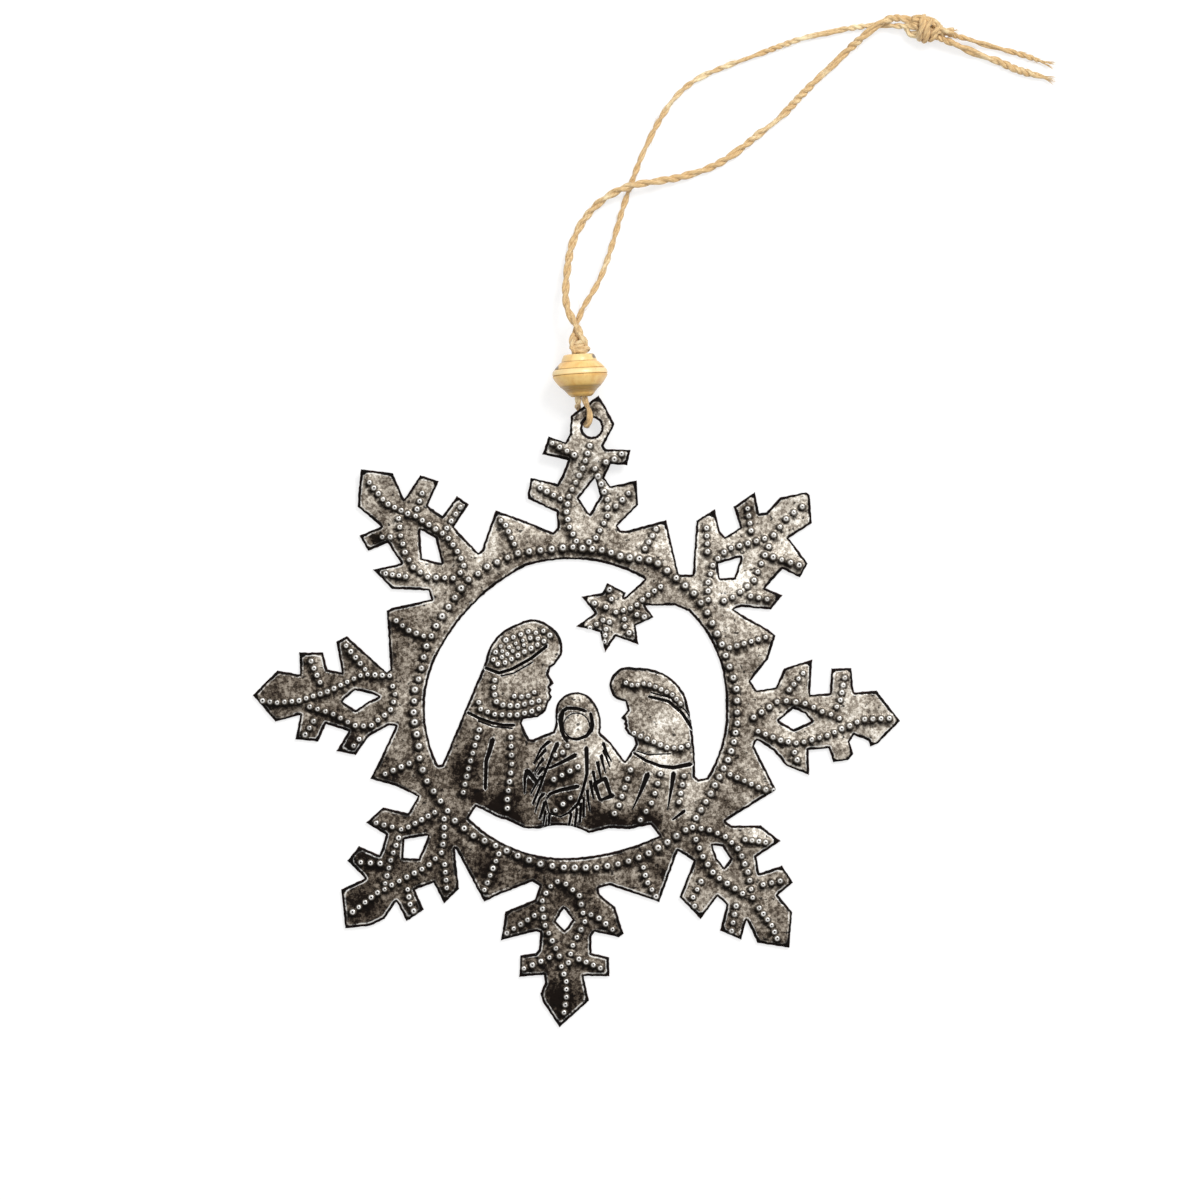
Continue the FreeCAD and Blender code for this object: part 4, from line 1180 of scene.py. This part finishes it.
def knotPiece(name, foot, axis, length, kind, cutEnd):
    look = knotLook
    turnHairs, loopHairs, coreHairs = look["hairs"]
    yarn = Yarn()
    side = sideOf(axis)

    def spot(along, across, high):
        return foot + axis * (along * mm) + side * (across * mm) + up * (high * mm)

    for middle, lean, wide, first, last, across, shifts in look[kind + "Turns"]:
        for shift in shifts:
            path = []
            for share in [step / 40 for step in range(41)]:
                angle = 2 * pi * (first + (last - first) * share)
                reach = wide - look["dive"] * (smooth(0.12, 0.0, share) + smooth(0.88, 1.0, share))
                along = middle + shift + lean * sin(angle)
                high = look["flat"] * reach * cos(angle)
                path.append(spot(along, across + reach * sin(angle), high))
            yarn.twine(path, turnHairs, 9 * shift + 4 * middle, thick=look["thick"])
    for number, loop in enumerate(look[kind + "Loops"]):
        path = splineLine(name + "Loop", [spot(*row) for row in loop])
        yarn.twine(path, loopHairs, 17 * number, thick=look["thick"])
    if cutEnd:
        yarn.fray(path, 9, 1.6, 0.5)
    for shift in (-0.5, 0.5):
        core = [spot(length * step / 30, shift * 0.95, 0.25 * sin(9 * step / 30))
                for step in range(31)]
        yarn.twine(core, coreHairs, 30 * shift)
    return yarn.piece(name)


random.seed(11)
knot = knotPiece("twineKnot", knotEntry, knotAxis, look["knotLength"], "end", True)
stopKnot = knotPiece("twineStopKnot", stopFoot, beadAxis, look["stopKnotLength"], "stop", False)
for made, node in ((knot, "twine_knot"), (stopKnot, "twine_stop_knot")):
    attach(made, "hanger")
    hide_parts(node)

hitchYarn = Yarn()
throughBead = stopFoot - beadFoot
hitchLead = beadAxis * (look["hitchLead"] * mm)
leftFoot, rightFoot = beadFoot - beadSide * halfSpacing, beadFoot + beadSide * halfSpacing
hitchYarn.twine(splineLine("hitchLine", [
    leftFoot + throughBead, leftFoot, leftFoot - hitchLead, *places(hitchRoute),
    rightFoot - hitchLead, rightFoot, rightFoot + throughBead]), 0.5)
hitch = hitchYarn.piece("twineHitch")
place(592, 428, 3.6)
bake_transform(hitch)
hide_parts("twine_hitch")

for name, nodes, thick, route in strands:
    line = splineLine(name + "Line", route)
    yarn = Yarn()
    yarn.twine(line[:-3], 1.1, closeEnd=3, thick=thick)
    yarn.fray(line[:-3], 16, 3.0, 0.9)
    strand = yarn.piece(name)
    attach(strand, "hanger")
    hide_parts(*nodes)
    look["diameter"] * mm
print("twine made")

# White floor, soft studio light
stageLook = {
    "floorSize": 6,
    "floorDrop": 0.00002,
    "floor": colour(0.93, 0.925, 0.92),
    "glow": 0.6,
    "sky": [(0.0, 0.16), (0.45, 0.22), (0.72, 0.50), (0.88, 1.0), (1.0, 1.0)],
    "skyStrength": 1.15,
}


def floorMaterial():
    floor = Finish(bpy.data.materials.new("whiteTable"))
    tree = floor.tree
    tree.nodes.remove(tree.nodes["Principled BSDF"])
    seen = floor.node("LightPath")
    glossy = floor.node("LightPath", output=3)
    diffuse = floor.node("BsdfDiffuse", None, {"Color": stageLook["floor"]})
    glow = floor.node("Emission", None, {"Color": colour(1, 1, 1), "Strength": 1.1})
    share = (seen + glossy) * stageLook["glow"]
    mixed = floor.node("MixShader", None, {0: share, 1: diffuse, 2: glow})
    tree.links.new(mixed.socket, tree.nodes["Material Output"].inputs["Surface"])
    return floor.owner


half = stageLook["floorSize"] / 2
floorCorners = [(-half, -half, 0), (half, -half, 0), (half, half, 0), (-half, half, 0)]
floor = meshPiece("floor", floorCorners, [(0, 1, 2, 3)], floorMaterial())
floor.location.z = -stageLook["floorDrop"]

world = Finish(bpy.data.worlds.new("studio"))
bpy.context.scene.world = world.owner
direction = world.node("TexCoord", output=0)
rise = world.node("SeparateXYZ", None, {0: direction}, 2)
sky = world.ramp(rise, stageLook["sky"])
white = colour(*[1 / stageLook["skyStrength"]] * 3)
sky = world.mix(world.node("LightPath"), sky, white)
world.feed(world.tree.nodes["Background"].inputs["Color"], sky)
world.tree.nodes["Background"].inputs["Strength"].default_value = stageLook["skyStrength"]

lamps = [
    ("windowLamp", (0.42, 0.62, 0.85), 0.45, 8.0),
    ("fillLamp", (-0.8, 0.1, 0.7), 0.6, 1.2),
]
for name, spot, size, power in lamps:
    lamp = newObject(name, bpy.data.lights.new(name, "AREA"))
    lamp.data.size = size
    lamp.data.energy = power
    lamp.location = spot
    lamp.rotation_euler = (Vector((0, 0.02, 0)) - Vector(spot)).to_track_quat("-Z", "Y").to_euler()

bpy.context.scene.view_settings.view_transform = "Standard"
print("stage made")
